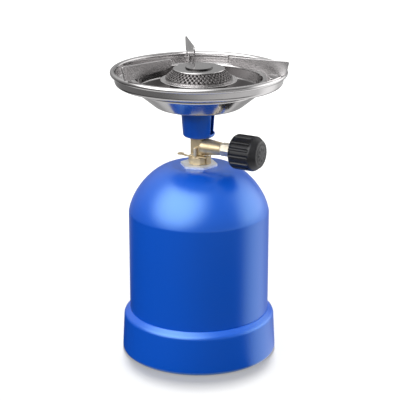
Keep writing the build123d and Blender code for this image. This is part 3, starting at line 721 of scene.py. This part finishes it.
class BuildBowl(bpy.types.Operator):
    """Steel bowl with its pan, ridge, gutter, wall and rolled rim"""
    bl_idname = "stove.build_bowl"
    bl_label = "Bowl"

    def execute(self, context):
        s = context.scene.stove_bowl
        wall = s.wall_radius
        bore, slope_top = 6.6 * MM, 184.0 * MM
        # Radii where the pan's slope ends, of the ridge's two edges and where the gutter starts.
        slope, inner, outer, gutter = np.array([42.2, 42.6, 44.9, 46.6]) * MM
        line = rounded([
            (bore, s.pan_height), (s.pan_radius, s.pan_height), (slope, slope_top),
            (inner, s.ridge_height), (outer, s.ridge_height), (gutter, s.gutter_height),
            (wall, s.gutter_height), (wall, s.bead_height),
        ], np.array([9.0, 2.0, 0.9, 0.9, 1.2, 2.4]) * MM)
        # The rim is the same sheet rolled outwards and down into a bead.
        bend = s.bead_radius - s.sheet
        curl = arc((wall + bend, s.bead_height), bend, 180, -140, 40)[1:]
        line = np.concatenate([filled(line, 1.2 * MM), curl])
        bowl = turned(sheet_section(line, s.sheet, 1), 224)
        piece = Skin().add(bowl).made("pressed_bowl")
        set_out(piece, "burner_unit", finish("drawn_stainless"), "stainless", "bowl")
        return {"FINISHED"}


class BuildBurner(bpy.types.Operator):
    """Burner: dimpled lower cup, perforated cone and stepped cap"""
    bl_idname = "stove.build_burner"
    bl_label = "Burner"

    def execute(self, context):
        s = context.scene.stove_burner
        sheet = 0.6 * MM
        bore, floor = 6.55 * MM, 178.6 * MM
        line = rounded([
            (bore, floor), (15.0 * MM, floor), (21.6 * MM, s.flange_height),
            (s.flange_radius, s.flange_height),
        ], np.array([3.0, 0.8]) * MM)
        cup = turned(sheet_section(filled(line, 0.8 * MM), sheet, 1), s.dimples * 10)
        # Dimples: round the flange the dent is the square of cos(turn x dimples) where that is
        # over zero, and across it a bell, exp(-(distance from its middle / width)^2).
        t = np.arctan2(cup[..., 1], cup[..., 0])
        r = np.hypot(cup[..., 0], cup[..., 1])
        middle, width, deep = s.flange_radius - 1.5 * MM, 0.8 * MM, 0.28 * MM
        bell = np.exp(-((r - middle) / width) ** 2)
        cup[..., 2] -= bell * np.clip(np.cos(t * s.dimples), 0.0, 1.0) ** 2 * deep
        piece = Skin().add(cup).made("burner_lower_cup")
        set_out(piece, "burner_unit", finish("satin_stainless"), "stainless", "burner_cup")

        piece = self.cone(s, sheet)
        set_out(piece, "burner_unit", finish("fired_stainless"), "stainless", "burner_ring")

        low = s.flange_height + sheet + s.ring_height
        high = low + 1.0 * MM
        boss_top, boss_foot, boss_edge = high + 0.9 * MM, 9.0 * MM, 8.9 * MM
        section = rounded([
            (0.0, low), (s.cap_radius, low), (s.cap_radius, high), (boss_foot, high),
            (boss_edge, boss_top), (0.0, boss_top),
        ], np.array([0.3, 0.55, 0.15, 0.25]) * MM)
        cap = turned(filled(section, 0.8 * MM), 160)
        piece = Skin().add(cap, True, False).made("burner_top_cap")
        set_out(piece, "burner_unit", finish("stepped_stainless"), "stainless", "burner_cap")
        return {"FINISHED"}

    def cone(self, s, sheet):
        """Perforated cone: rings of points blend from each square cell to the hole in its middle.

        A cell corner at (u, v) in -1 to 1 and a circle point at (cos t, sin t) share the angle t,
        and the blend runs from one to the other. Each row stands half a cell round from the last.
        """
        base = s.flange_height + sheet
        slope = np.array([s.ring_top - s.ring_foot, s.ring_height - sheet])
        slant = np.linalg.norm(slope)
        per_side = 4
        u = np.linspace(-1.0, 1.0, per_side + 1)[:-1]
        one = np.ones(per_side)
        square = np.concatenate([np.stack(side, 1)
                                 for side in ((u, -one), (one, u), (-u, one), (-one, -u))])
        t = np.arctan2(square[:, 1], square[:, 0])
        circle = np.stack([np.cos(t), np.sin(t)], axis=1)
        band = 1.0 / (s.rows + 1)
        tall = band * slant / 2
        half_wide = np.pi / s.holes
        blend = np.array([0.0, 0.6, 1.0])[None, :, None]
        skin = Skin()
        for row in range(s.rows):
            middle = (row + 1) * band
            wide = half_wide * (s.ring_foot + slope[0] * middle)
            hole = circle * s.hole_radius / np.array([wide, tall])
            flat = square[:, None, :] * (1 - blend) + hole[:, None, :] * blend
            turn = (np.arange(s.holes) + row / 2) * 2 * half_wide
            around = turn[:, None, None] + flat[None, ..., 0] * half_wide
            up = middle + flat[None, ..., 1] * band / 2 + 0 * around
            r = s.ring_foot + slope[0] * up
            z = base + sheet + slope[1] * up
            grid = np.stack([r * np.cos(around), r * np.sin(around), z], axis=-1)
            for cell in grid:
                skin.add(cell[:, ::-1], True, False)
        # Plain bands under the first row and over the last, which share the points of its cells.
        steps = s.holes * per_side
        for ends in ((0.0, band / 2), (1 - band / 2, 1.0)):
            up = np.array(ends)
            line = np.stack([s.ring_foot + slope[0] * up, base + sheet + slope[1] * up], axis=1)
            skin.add(turned(line, steps), True, False)
        foot = turned(np.array([(s.ring_foot, base), (s.ring_foot, base + sheet)]), steps)
        skin.add(foot, True, False)
        piece = skin.made("perforated_cone")
        solid = piece.modifiers.new("wall", "SOLIDIFY")
        solid.thickness = sheet
        solid.offset = -1.0
        return piece


class BuildSupports(bpy.types.Operator):
    """Three stamped pot supports, each with a finger, a bend and a welded flange"""
    bl_idname = "stove.build_supports"
    bl_label = "Pot supports"

    def execute(self, context):
        s = context.scene.stove_supports
        bowl = context.scene.stove_bowl
        half = s.sheet / 2
        # The flange follows the wall and the blade stands on the gutter, both with a small gap.
        gap = 0.05 * MM
        floor = bowl.gutter_height + bowl.sheet + gap
        middle = bowl.wall_radius - bowl.sheet - gap - half
        bend, beside = 5.0 * MM, 0.6 * MM
        depth = beside + bend
        bend_start = np.sqrt(middle ** 2 - depth ** 2) - bend
        finger, heel, shoulder, over_rim = np.array([22.3, 47.5, 41.0, 60.2]) * MM
        rim_top = 198.1 * MM
        low = s.top_height - 5.6 * MM
        root = low - 2.6 * MM
        corners = [
            (finger, s.top_height), (s.tip_radius, s.top_height), (over_rim, rim_top),
            (bend_start, rim_top), (bend_start, floor), (heel, floor), (heel, root),
            (shoulder, root), (finger, low),
        ]
        radii = np.array([2.5, 1.2, 0.4, 0.3, 0.3, 0.3, 5.0, 0.5, 2.5]) * MM
        blade = plate(ring_rounded(corners, radii), half, s.edge)
        start = -np.degrees(np.arcsin(depth / middle))
        path = np.concatenate([arc((bend_start, -depth), bend, 90, 0, 14),
                               arc((0.0, 0.0), middle, start, start - 25.0, 24)[1:]])
        strip = swept(path, half, floor + 1.8 * MM, floor + 7.0 * MM, s.edge)
        for name, degrees in (("right", -21.0), ("back", 99.0), ("left", 219.0)):
            turn = np.radians(degrees)
            skin = Skin().join(blade, turn, -beside).join(strip, turn)
            set_out(skin.made("stamped_support_" + name), "burner_unit",
                    finish("stamped_stainless"), "stainless", "pot_support_" + name)
        return {"FINISHED"}


# Place of the catch lever's pivot, and the flats and the turn of the valve unit's nut.
PIVOT = np.array([-2.55, -4.85]) * MM
UNIT_FLATS = 13.3 * MM
UNIT_TURN = -22.0


def nut_section(bore, across, low, high):
    """Section of a turned nut blank with its corners turned off at both ends."""
    edge, bevel = 0.15 * MM, 0.5 * MM
    corner = across / np.sqrt(3)
    ends = across / 2 * 0.985
    points = [(bore, low), (ends, low), (corner, low + bevel), (corner, high - bevel),
              (ends, high), (bore, high)]
    return ring_rounded(points, [edge] * len(points), 4)


class BuildNuts(bpy.types.Operator):
    """Threaded bush, its nut, the nut of the valve unit and the gland nut"""
    bl_idname = "stove.build_nuts"
    bl_label = "Bush and nuts"

    def execute(self, context):
        shell = context.scene.stove_shell
        top = shell.top_height
        bush_top = top + 1.5 * MM
        bore = 6.05 * MM
        head = collar(bore, 14.0 * MM, top, bush_top, np.array([0.1, 0.25, 0.45, 0.1]) * MM, 6)
        head = prism(head, 6, 22.6 * MM, np.radians(17.0), power=26)
        shank = self.thread(radius=9.0 * MM, pitch=1.5 * MM, low=bush_top - 15.0 * MM,
                            high=top + 0.2 * MM, bore=bore)
        set_out(Skin().add(head).add(shank).made("bush_with_head"), "shell",
                finish("bright_zinc_plate"), "zinc_plate", "threaded_bush")

        flats, high = 24.0 * MM, top - shell.sheet
        nut = prism(nut_section(9.05 * MM, flats, high - 5.0 * MM, high), 6, flats,
                    np.radians(30.0))
        set_out(Skin().add(nut).made("nut_under_dome"), "shell",
                finish("bright_zinc_plate"), "zinc_plate", "bush_nut")

        low = bush_top + 0.05 * MM
        nut = prism(nut_section(bore, UNIT_FLATS, low, low + 5.1 * MM), 6, UNIT_FLATS,
                    np.radians(UNIT_TURN + 30.0))
        set_out(Skin().add(nut).made("valve_unit_nut"), "burner_unit",
                finish("machined_brass"), "brass", "unit_nut")

        # Distances along the arm of the gland nut's two ends.
        flats, near, far = 8.2 * MM, 17.65 * MM, 27.2 * MM
        nut = along_arm(prism(nut_section(2.15 * MM, flats, near, far), 6, flats, 0.0))
        set_out(Skin().add(nut).made("spindle_gland_nut"), "burner_unit",
                finish("nickel_plated_brass"), "nickel_brass", "gland_nut")
        return {"FINISHED"}

    def thread(self, radius, pitch, low, high, bore):
        """Grid of a threaded bar round a bore: the outer radius dips by the distance of
        (height / pitch - turn / full turn) from a whole number, which makes a helix."""
        depth = pitch * 0.5
        start = low + 0.4 * MM
        z = np.linspace(start, high, int((high - low) / pitch * 8))
        t = np.linspace(0.0, ROUND, 96, endpoint=False)[:, None]
        phase = (z / pitch - t / ROUND) % 1.0
        r = radius - depth * np.abs(phase * 2 - 1) * np.clip((z - start) / pitch, 0.0, 1.0)
        one = np.ones((len(t), 1))
        r = np.concatenate([bore * one, (radius - depth) * one, r, bore * one], axis=1)
        z = np.concatenate([[low, low], z, [high]])
        return np.stack([r * np.cos(t), r * np.sin(t), z + 0 * t], axis=-1)


class BuildValve(bpy.types.Operator):
    """Valve body with its tapered arm, and the lever pin"""
    bl_idname = "stove.build_valve"
    bl_label = "Valve body"

    def execute(self, context):
        s = context.scene.stove_valve
        # Heights of the neck's foot, of the block's two ends, and of the tops of spigot and pin.
        foot, low, high, spigot_top, pin_top = np.array([138.45, 140.0, 152.0, 156.0, 145.0]) * MM
        bore = 1.0 * MM
        block = collar(bore, 7.0 * MM, low, high, np.array([0.1, 0.35, 0.35, 0.1]) * MM, 6)
        block = prism(block, 4, s.block_width, s.arm_turn, power=22, steps=160)
        neck = collar(bore, 3.5 * MM, foot, low + 0.4 * MM, [0.05 * MM] * 4, 3)
        spigot = collar(bore, 4.0 * MM, high - 0.2 * MM, spigot_top,
                        np.array([0.05, 0.05, 0.4, 0.1]) * MM, 4)
        # The arm's radii with the distances along it: a thick root, a taper and a seat at its end.
        arm = [(2.2, 3.0), (5.8, 3.0), (5.8, 5.05), (4.2, 17.6), (3.2, 17.6), (3.2, 13.1),
               (2.2, 13.1)]
        arm = ring_rounded(np.array(arm) * MM,
                           np.array([0.1, 0.5, 0.5, 0.3, 0.15, 0.1, 0.1]) * MM, 5)
        arm = filled(np.concatenate([arm, arm[:1]]), 0.8 * MM)[:-1]
        skin = Skin().add(block).add(turned(neck, 64)).add(turned(spigot, 64))
        skin.add(along_arm(turned(arm, 96)))
        set_out(skin.made("forged_valve_body"), "burner_unit",
                finish("machined_brass"), "brass", "valve_body")

        radius = 1.2 * MM
        pin = rounded([(0.0, foot), (radius, foot), (radius, pin_top), (0.0, pin_top)],
                      np.array([0.05, 0.35]) * MM, 6)
        pin = turned(pin, 40) + np.append(PIVOT, 0.0)
        set_out(Skin().add(pin, True, False).made("lever_pivot_pin"), "burner_unit",
                finish("nickel_plated_brass"), "steel", "lever_pin")
        return {"FINISHED"}


class BuildLever(bpy.types.Operator):
    """Catch lever with its eye and turned-down tab"""
    bl_idname = "stove.build_lever"
    bl_label = "Catch lever"

    def execute(self, context):
        low, thick, edge = 138.65 * MM, 0.8 * MM, 0.2 * MM
        top = low + thick
        eye, bend, tip = np.array([(-12.2, 2.6), (-8.3, -2.2), (4.6, -7.2)]) * MM
        skin = Skin()
        for place, inner, outer in ((eye, 1.1 * MM, 2.3 * MM), (PIVOT, 1.25 * MM, 1.7 * MM)):
            ring = turned(collar(inner, outer, low, top, [edge] * 4), 48)
            skin.add(ring + np.append(place, 0.0))

        # The strips start inside the rings: a bent one to the eye and a wide one to the tip.
        in_eye, in_hub, wide = 1.7 * MM, 1.4 * MM, 1.7 * MM
        path = rounded([eye + unit(bend - eye) * in_eye, bend, PIVOT + unit(bend - PIVOT) * in_hub],
                       [2.0 * MM])
        skin.join(swept(filled(path, 1.0 * MM), 0.9 * MM, low, top, edge))
        path = np.stack([PIVOT + unit(tip - PIVOT) * in_hub, tip])
        skin.join(swept(path, wide, low, top, edge))
        disc = rounded([(0.0, low), (wide, low), (wide, top), (0.0, top)], [edge] * 2, 5)
        skin.add(turned(disc, 48) + np.append(tip, 0.0), True, False)

        # The tab hangs down beside a flat of the nut, clear of it.
        clear = UNIT_FLATS / 2 + 0.5 * MM + thick / 2
        tab = swept(np.array([(clear, 0.6 * MM), (clear, 4.2 * MM)]), thick / 2, low - 5.0 * MM,
                    top, edge)
        skin.join(tab, np.radians(UNIT_TURN - 30.0))
        set_out(skin.made("stamped_catch_lever"), "catch",
                finish("machined_brass"), "brass", "catch_lever")
        return {"FINISHED"}


class BuildAirCup(bpy.types.Operator):
    """Blue air cup with its window"""
    bl_idname = "stove.build_air_cup"
    bl_label = "Air cup"

    def execute(self, context):
        s = context.scene.stove_valve
        foot, top = 152.05 * MM, 172.35 * MM
        sill, head = foot + 2.4 * MM, top - 2.6 * MM
        bore, band = 4.05 * MM, 2.0 * MM
        line = rounded([(bore, foot), (s.cup_foot, foot), (s.cup_top, top - band),
                        (s.cup_top, top)], [2.0 * MM] * 2)
        line = filled(line, 0.9 * MM)
        # Two points are added to the line, so that the window's edges are level.
        number = np.searchsorted(line[:, 1], [sill, head])
        radii = np.interp([sill, head], line[:, 1], line[:, 0])
        line = np.insert(line, number, np.stack([radii, [sill, head]], axis=1), axis=0)
        steps = 180
        grid = turned(line, steps)
        t = np.degrees(np.linspace(0.0, ROUND, steps, endpoint=False)) + 180 / steps
        t = (t + 180) % 360 - 180
        z = (line[1:, 1] + line[:-1, 1]) / 2
        inside = (t > np.degrees(s.window_start)) & (t < np.degrees(s.window_end))
        keep = ~(inside[:, None] & ((z > sill) & (z < head))[None, :])
        piece = Skin().add(grid, True, False, keep).made("painted_air_cup")
        solid = piece.modifiers.new("wall", "SOLIDIFY")
        solid.thickness = 0.8 * MM
        solid.offset = -1.0
        edge = piece.modifiers.new("edge", "BEVEL")
        edge.width = 0.18 * MM
        edge.segments = 2
        edge.limit_method = "ANGLE"
        edge.angle_limit = np.radians(50)
        set_out(piece, "burner_unit", finish("baked_blue_enamel"), "blue_enamel", "air_cup")
        return {"FINISHED"}


class BuildKnob(bpy.types.Operator):
    """Fluted black knob with its domed cap"""
    bl_idname = "stove.build_knob"
    bl_label = "Control knob"

    def execute(self, context):
        s = context.scene.stove_knob
        end = s.start + s.span
        recess_end = s.start + 3.6 * MM
        cap_floor = end - 1.4 * MM
        slope = end - 4.2 * MM
        # Radii of the recess round the gland nut, the end face, the cap's seat and the bore.
        recess, face, seat, bore = np.array([7.4, 8.6, 6.6, 3.6]) * MM
        corners = [
            (recess, s.start), (s.radius, s.start), (s.radius, slope), (face, end), (seat, end),
            (seat, cap_floor), (bore, cap_floor), (bore, recess_end), (recess, recess_end),
        ]
        radii = np.array([0.4, 3.2, 3.2, 2.0, 0.3, 0.1, 0.1, 0.1, 0.1]) * MM
        loop = ring_rounded(corners, radii, 9)
        loop = filled(np.concatenate([loop, loop[:1]]), 0.6 * MM)[:-1]
        steps = s.flutes * 22
        t = np.linspace(0.0, ROUND, steps, endpoint=False)[:, None]
        z = loop[None, :, 1] + 0 * t
        r = loop[None, :, 0] + 0 * t
        # A flute is a round bar laid in the surface: c cos a - sqrt(f^2 - (c sin a)^2) is its inner
        # side at angle a from its middle, and its radius f shrinks to nothing past its end.
        centre = s.radius - s.flute_depth + s.flute_radius
        past = np.maximum(z - (s.start + 14.4 * MM), 0.0)
        bar = np.sqrt(np.maximum(s.flute_radius ** 2 - past ** 2, 0.0))
        off = (t + np.pi / s.flutes) % (ROUND / s.flutes) - np.pi / s.flutes
        inside = bar ** 2 - (centre * np.sin(off)) ** 2
        groove = centre * np.cos(off) - np.sqrt(np.maximum(inside, 0.0))
        groove = np.where(inside > 0, groove, centre)
        # Both surfaces meet in a soft edge k wide, by a share h: g (1 - h) + r h - k h (1 - h).
        k = 0.35 * MM
        h = np.clip(0.5 + 0.5 * (groove - r) / k, 0.0, 1.0)
        cut = groove * (1 - h) + r * h - k * h * (1 - h)
        outside = (r > 8.0 * MM) & (groove < centre - 0.02 * MM)
        r = np.where(outside, np.minimum(cut, r), r)
        grid = np.stack([r * np.cos(t), r * np.sin(t), z], axis=-1)
        piece = Skin().add(along_arm(grid)).made("fluted_knob")
        set_out(piece, "knob", finish("moulded_black_plastic"), "knob_plastic", "control_knob")

        rim = 6.5 * MM
        crown = 0.9 * MM
        bend = (rim ** 2 + crown ** 2) / (2 * crown)
        sweep = np.degrees(np.arcsin(rim / bend))
        top = arc((0.0, end + crown - bend), bend, 90 - sweep, 90, 24)
        section = np.concatenate([[(0.0, cap_floor), (rim, cap_floor)], top])
        cap = turned(filled(section, 0.3 * MM), 144)
        # Eight short raised bars round the crown, generic grip marks.
        r = np.hypot(cap[..., 0], cap[..., 1])
        t = np.arctan2(cap[..., 1], cap[..., 0])
        middle, reach, high = 3.9 * MM, 1.0 * MM, 0.25 * MM
        bars = np.exp(-((r - middle) / reach) ** 4) * np.clip(np.cos(t * 8) * 2.0, 0.0, 1.0)
        cap[..., 2] += np.where(cap[..., 2] > end - 0.1 * MM, bars * high, 0.0)
        piece = Skin().add(along_arm(cap), True, False).made("knob_end_cap")
        set_out(piece, "knob", finish("moulded_black_plastic"), "knob_plastic", "knob_cap")
        return {"FINISHED"}


class DressFrame(bpy.types.Operator):
    """Finishes for the solids that keep their own shape"""
    bl_idname = "stove.dress_frame"
    bl_label = "Inner parts"

    def execute(self, context):
        finishes = {
            "gas_cartridge": "bright_tinplate",
            "cartridge_seal": "black_nitrile_rubber",
            "valve_stem": "turned_nickel",
            "piercing_needle": "satin_stainless",
            "spindle": "machined_brass",
            "spindle_o_ring": "black_nitrile_rubber",
            "knob_insert": "machined_brass",
            "jet": "machined_brass",
            "mixing_tube": "satin_stainless",
            "bowl_nut": "bright_zinc_plate",
        }
        for node, name in finishes.items():
            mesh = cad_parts[node].data
            mesh.materials.clear()
            mesh.materials.append(finish(name))
        return {"FINISHED"}


def towards(turn, rise):
    """Unit vector turned from the front towards the right and then raised, both in radians."""
    return np.array([np.sin(turn) * np.cos(rise), -np.cos(turn) * np.cos(rise), np.sin(rise)])


class BuildStage(bpy.types.Operator):
    """Pale floor, soft lamps, room light and the camera"""
    bl_idname = "stove.build_stage"
    bl_label = "Stage"

    def execute(self, context):
        s = context.scene.stove_stage
        floor = self.floor(s)
        # Each lamp's turn and rise in degrees, distance, width, height and radiance. The large
        # ones leave the floor out, and a small one lights it alone, so that it has one short
        # shadow.
        for name, turn, rise, away, wide, tall, glow in (
                ("key_softbox", -43.0, 43.0, 1.4, 1.35, 1.15, s.key_glow),
                ("side_softbox", 106.0, 17.0, 1.3, 1.2, 0.9, s.side_glow),
                ("top_softbox", 180.0, 79.0, 1.5, 0.9, 0.9, s.top_glow),
                ("floor_lamp", 180.0, 78.8, 2.0, 0.16, 0.36, s.floor_glow)):
            lamp = self.lamp(name, turn, rise, away, wide, tall, glow)
            state = "INCLUDE" if name == "floor_lamp" else "EXCLUDE"
            lamp.light_linking.receiver_collection = self.linked(name + "_lights", [floor], state)
        solid = [bpy.data.objects[name] for name in ("pressed_base", "domed_shell")]
        lamp.light_linking.blocker_collection = self.linked("floor_lamp_shadows", solid, "INCLUDE")
        self.room(s)
        camera = bpy.data.cameras.new("camera")
        camera.sensor_width = 36.0
        camera.lens = s.lens
        camera.shift_x = 0.00275
        camera.clip_start = 0.05
        camera.clip_end = 50.0
        eye = bpy.data.objects.new("camera", camera)
        eye.location = (0.0, -s.distance, s.camera_height)
        eye.rotation_euler = (np.pi / 2 - s.pitch, 0.0, 0.0)
        context.scene.collection.objects.link(eye)
        context.scene.camera = eye
        context.scene.view_settings.view_transform = "Standard"
        return {"FINISHED"}

    def floor(self, s):
        """Square floor at zero height."""
        x = np.linspace(-s.floor_size, s.floor_size, 9)
        grid = np.stack(np.meshgrid(x, x, indexing="ij") + [np.zeros((9, 9))], axis=-1)
        floor = Skin().add(grid, False, False).made("studio_floor")
        floor.data.materials.append(self.paper(s))
        return floor

    def paper(self, s):
        """Pale studio paper, matt and near white.

        To the camera it is paler than to other rays and glows, more so far off, so that it blends
        into the background. In reflections it is dim near the stove and bright far off, towards
        the lamp at the right and where it is looked at steeply, as the bowl does from above.
        """
        material, tree, shader = begin("studio_paper", Roughness=0.9, Specular_IOR_Level=0.0)
        seen = add_node(tree, "LightPath").outputs
        tone = add_node(tree, "Mix", BY_COLOUR, in_0=seen["Is Camera Ray"],
                        in_6=toned(s.floor, 0.1), in_7=toned(s.floor, 0.37)).outputs[2]
        tree.links.new(tone, shader.inputs["Base Color"])
        where = add_node(tree, "TexCoord").outputs["Object"]
        far = add_node(tree, "VectorMath", {"operation": "LENGTH"}, in_0=where).outputs["Value"]
        # The glow grows over each stretch of distance from the stove, by the growth given.
        glow = 0.3
        for start, end, growth in ((0.08, 0.5, 0.3), (0.5, 1.5, 0.5)):
            more = add_node(tree, "MapRange", SMOOTH, in_0=far, in_1=start, in_2=end,
                            in_3=0.0, in_4=growth).outputs[0]
            glow = add_node(tree, "Math", {"operation": "ADD"}, in_0=glow, in_1=more).outputs[0]
        glow = add_node(tree, "Emission", Color=WHITE, Strength=glow)
        none = add_node(tree, "Emission", Strength=0.0)
        lift = add_node(tree, "MixShader", Fac=seen["Is Camera Ray"], in_1=none.outputs[0],
                        in_2=glow.outputs[0])
        lit = add_node(tree, "AddShader", in_0=shader.outputs[0], in_1=lift.outputs[0])

        # Directions are taken from the point of the wall that mirrors the right side.
        moved = add_node(tree, "VectorMath", {"operation": "SUBTRACT"}, in_0=where,
                         in_1=(0.022, -0.0373, 0.0)).outputs[0]
        aim = add_node(tree, "VectorMath", {"operation": "NORMALIZE"}, in_0=moved).outputs[0]
        # Far off, the paper is darker at the left and paler at the right.
        sideways = add_node(tree, "SeparateXYZ", Vector=aim).outputs["X"]
        pale_end = add_node(tree, "MapRange", in_0=sideways, in_1=-0.8, in_2=0.9, in_3=0.2,
                            in_4=0.85).outputs[0]
        facing = add_node(tree, "LayerWeight", Blend=0.5).outputs["Facing"]
        # Each row has a value, its start and end, and the brightness there. The brightest counts.
        rows = [(far, 0.38, 0.62, 0.02, pale_end), (facing, 0.5, 0.25, 0.0, 0.8)]
        for across, along, start, end, strength in ((0.94, 0.34, 0.74, 1.06, 1.5),
                                                    (0.35, 0.94, 0.3, 0.75, 0.4)):
            side = add_node(tree, "VectorMath", {"operation": "DOT_PRODUCT"}, in_0=aim,
                            in_1=(across, along, 0.0)).outputs["Value"]
            rows.append((side, start, end, 0.0, strength))
        glare = 0.0
        for value, start, end, low, high in rows:
            part = add_node(tree, "MapRange", SMOOTH, in_0=value, in_1=start, in_2=end,
                            in_3=low, in_4=high).outputs[0]
            glare = add_node(tree, "Math", {"operation": "MAXIMUM"}, in_0=glare,
                             in_1=part).outputs[0]
        mirror = add_node(tree, "Emission", Color=WHITE, Strength=glare)
        final = add_node(tree, "MixShader", Fac=seen["Is Glossy Ray"], in_1=lit.outputs[0],
                         in_2=mirror.outputs[0])
        tree.links.new(final.outputs[0], tree.nodes["Material Output"].inputs["Surface"])
        return material

    def linked(self, name, pieces, state):
        """Collection that links a lamp to pieces, or leaves them out."""
        group = bpy.data.collections.new(name)
        for piece in pieces:
            group.objects.link(piece)
        for row in group.collection_objects:
            row.light_linking.link_state = state
        return group

    def lamp(self, name, turn, rise, away, wide, tall, glow):
        """Rectangular soft lamp aimed at the middle of the stove, with its power from its radiance
        and its area."""
        light = bpy.data.lights.new(name, "AREA")
        light.shape = "RECTANGLE"
        light.size = wide
        light.size_y = tall
        light.energy = glow * np.pi * wide * tall
        lamp = bpy.data.objects.new(name, light)
        turn, rise = np.radians([turn, rise])
        lamp.location = np.array([0.0, 0.0, 0.13]) + away * towards(turn, rise)
        lamp.rotation_euler = (np.pi / 2 - rise, 0.0, turn)
        lamp.visible_glossy = False
        bpy.context.scene.collection.objects.link(lamp)
        return lamp

    def room(self, s):
        """Even soft light, a white background to the camera, and in reflections a dim studio with a
        wide glow at the front left, a tall one at the right and a pale one overhead.

        Each glow is smooth: it grows from nothing to its strength as the angle from its middle
        falls from its wide to its narrow half angle.
        """
        world = bpy.data.worlds.new("studio_room")
        world.use_nodes = True
        tree = world.node_tree
        tree.nodes.clear()
        seen = add_node(tree, "LightPath").outputs
        aim = add_node(tree, "TexCoord").outputs["Generated"]
        tone = 0.28
        # Each glow's turn, rise and half angles in degrees, and its strength.
        for *angles, strength in ((-47.0, 46.0, 53.0, 8.0, s.key_mirror),
                                  (108.0, 6.0, 46.0, 8.0, s.side_mirror),
                                  (-150.0, 62.0, 66.0, 10.0, 0.55)):
            turn, rise, wide, narrow = np.radians(angles)
            near = add_node(tree, "VectorMath", {"operation": "DOT_PRODUCT"}, in_0=aim,
                            in_1=towards(turn, rise)).outputs["Value"]
            glow = add_node(tree, "MapRange", SMOOTH, in_0=near, in_1=np.cos(wide),
                            in_2=np.cos(narrow), in_3=0.0, in_4=strength).outputs[0]
            tone = add_node(tree, "Math", {"operation": "ADD"}, in_0=tone, in_1=glow).outputs[0]
        even, white, mirror = [
            add_node(tree, "Background", Color=WHITE, Strength=strength).outputs[0]
            for strength in (s.fill, 1.0, tone)]
        first = add_node(tree, "MixShader", Fac=seen["Is Glossy Ray"], in_1=even, in_2=mirror)
        final = add_node(tree, "MixShader", Fac=seen["Is Camera Ray"], in_1=first.outputs[0],
                         in_2=white)
        add_node(tree, "OutputWorld", Surface=final.outputs[0])
        bpy.context.scene.world = world


class StovePanel(bpy.types.Panel):
    """Sizes, colours and pieces of the stove"""
    bl_idname = "VIEW3D_PT_stove"
    bl_label = "Portable gas stove"
    bl_space_type = "VIEW_3D"
    bl_region_type = "UI"
    bl_category = "Stove"

    def draw(self, context):
        for name, operators in SECTIONS.items():
            box = self.layout.box()
            values = getattr(context.scene, name)
            for key in values.__annotations__:
                box.prop(values, key)
            for operator in operators:
                box.operator(operator.bl_idname)


GROUPS = {
    "stove_shell": ShellSizes,
    "stove_bowl": BowlSizes,
    "stove_burner": BurnerSizes,
    "stove_supports": SupportSizes,
    "stove_valve": ValveSizes,
    "stove_knob": KnobSizes,
    "stove_colours": Colours,
    "stove_stage": StageValues,
}

SECTIONS = {
    "stove_shell": [BuildShell],
    "stove_bowl": [BuildBowl],
    "stove_burner": [BuildBurner],
    "stove_supports": [BuildSupports],
    "stove_valve": [BuildNuts, BuildValve, BuildLever, BuildAirCup],
    "stove_knob": [BuildKnob],
    "stove_colours": [DressFrame],
    "stove_stage": [BuildStage],
}


def register():
    """Register the groups, operators and panel."""
    for name, group in GROUPS.items():
        bpy.utils.register_class(group)
        setattr(bpy.types.Scene, name, PointerProperty(type=group))
    for operators in SECTIONS.values():
        for operator in operators:
            bpy.utils.register_class(operator)
    bpy.utils.register_class(StovePanel)


def unregister():
    """Take the panel, operators and groups away again."""
    bpy.utils.unregister_class(StovePanel)
    for operators in SECTIONS.values():
        for operator in operators:
            bpy.utils.unregister_class(operator)
    for name, group in GROUPS.items():
        delattr(bpy.types.Scene, name)
        bpy.utils.unregister_class(group)


def main():
    """Build every piece and the stage."""
    register()
    bpy.ops.stove.build_shell()
    bpy.ops.stove.build_bowl()
    bpy.ops.stove.build_burner()
    bpy.ops.stove.build_supports()
    bpy.ops.stove.build_nuts()
    bpy.ops.stove.build_valve()
    bpy.ops.stove.build_lever()
    bpy.ops.stove.build_air_cup()
    bpy.ops.stove.build_knob()
    bpy.ops.stove.dress_frame()
    bpy.ops.stove.build_stage()


if __name__ == "__main__":
    main()
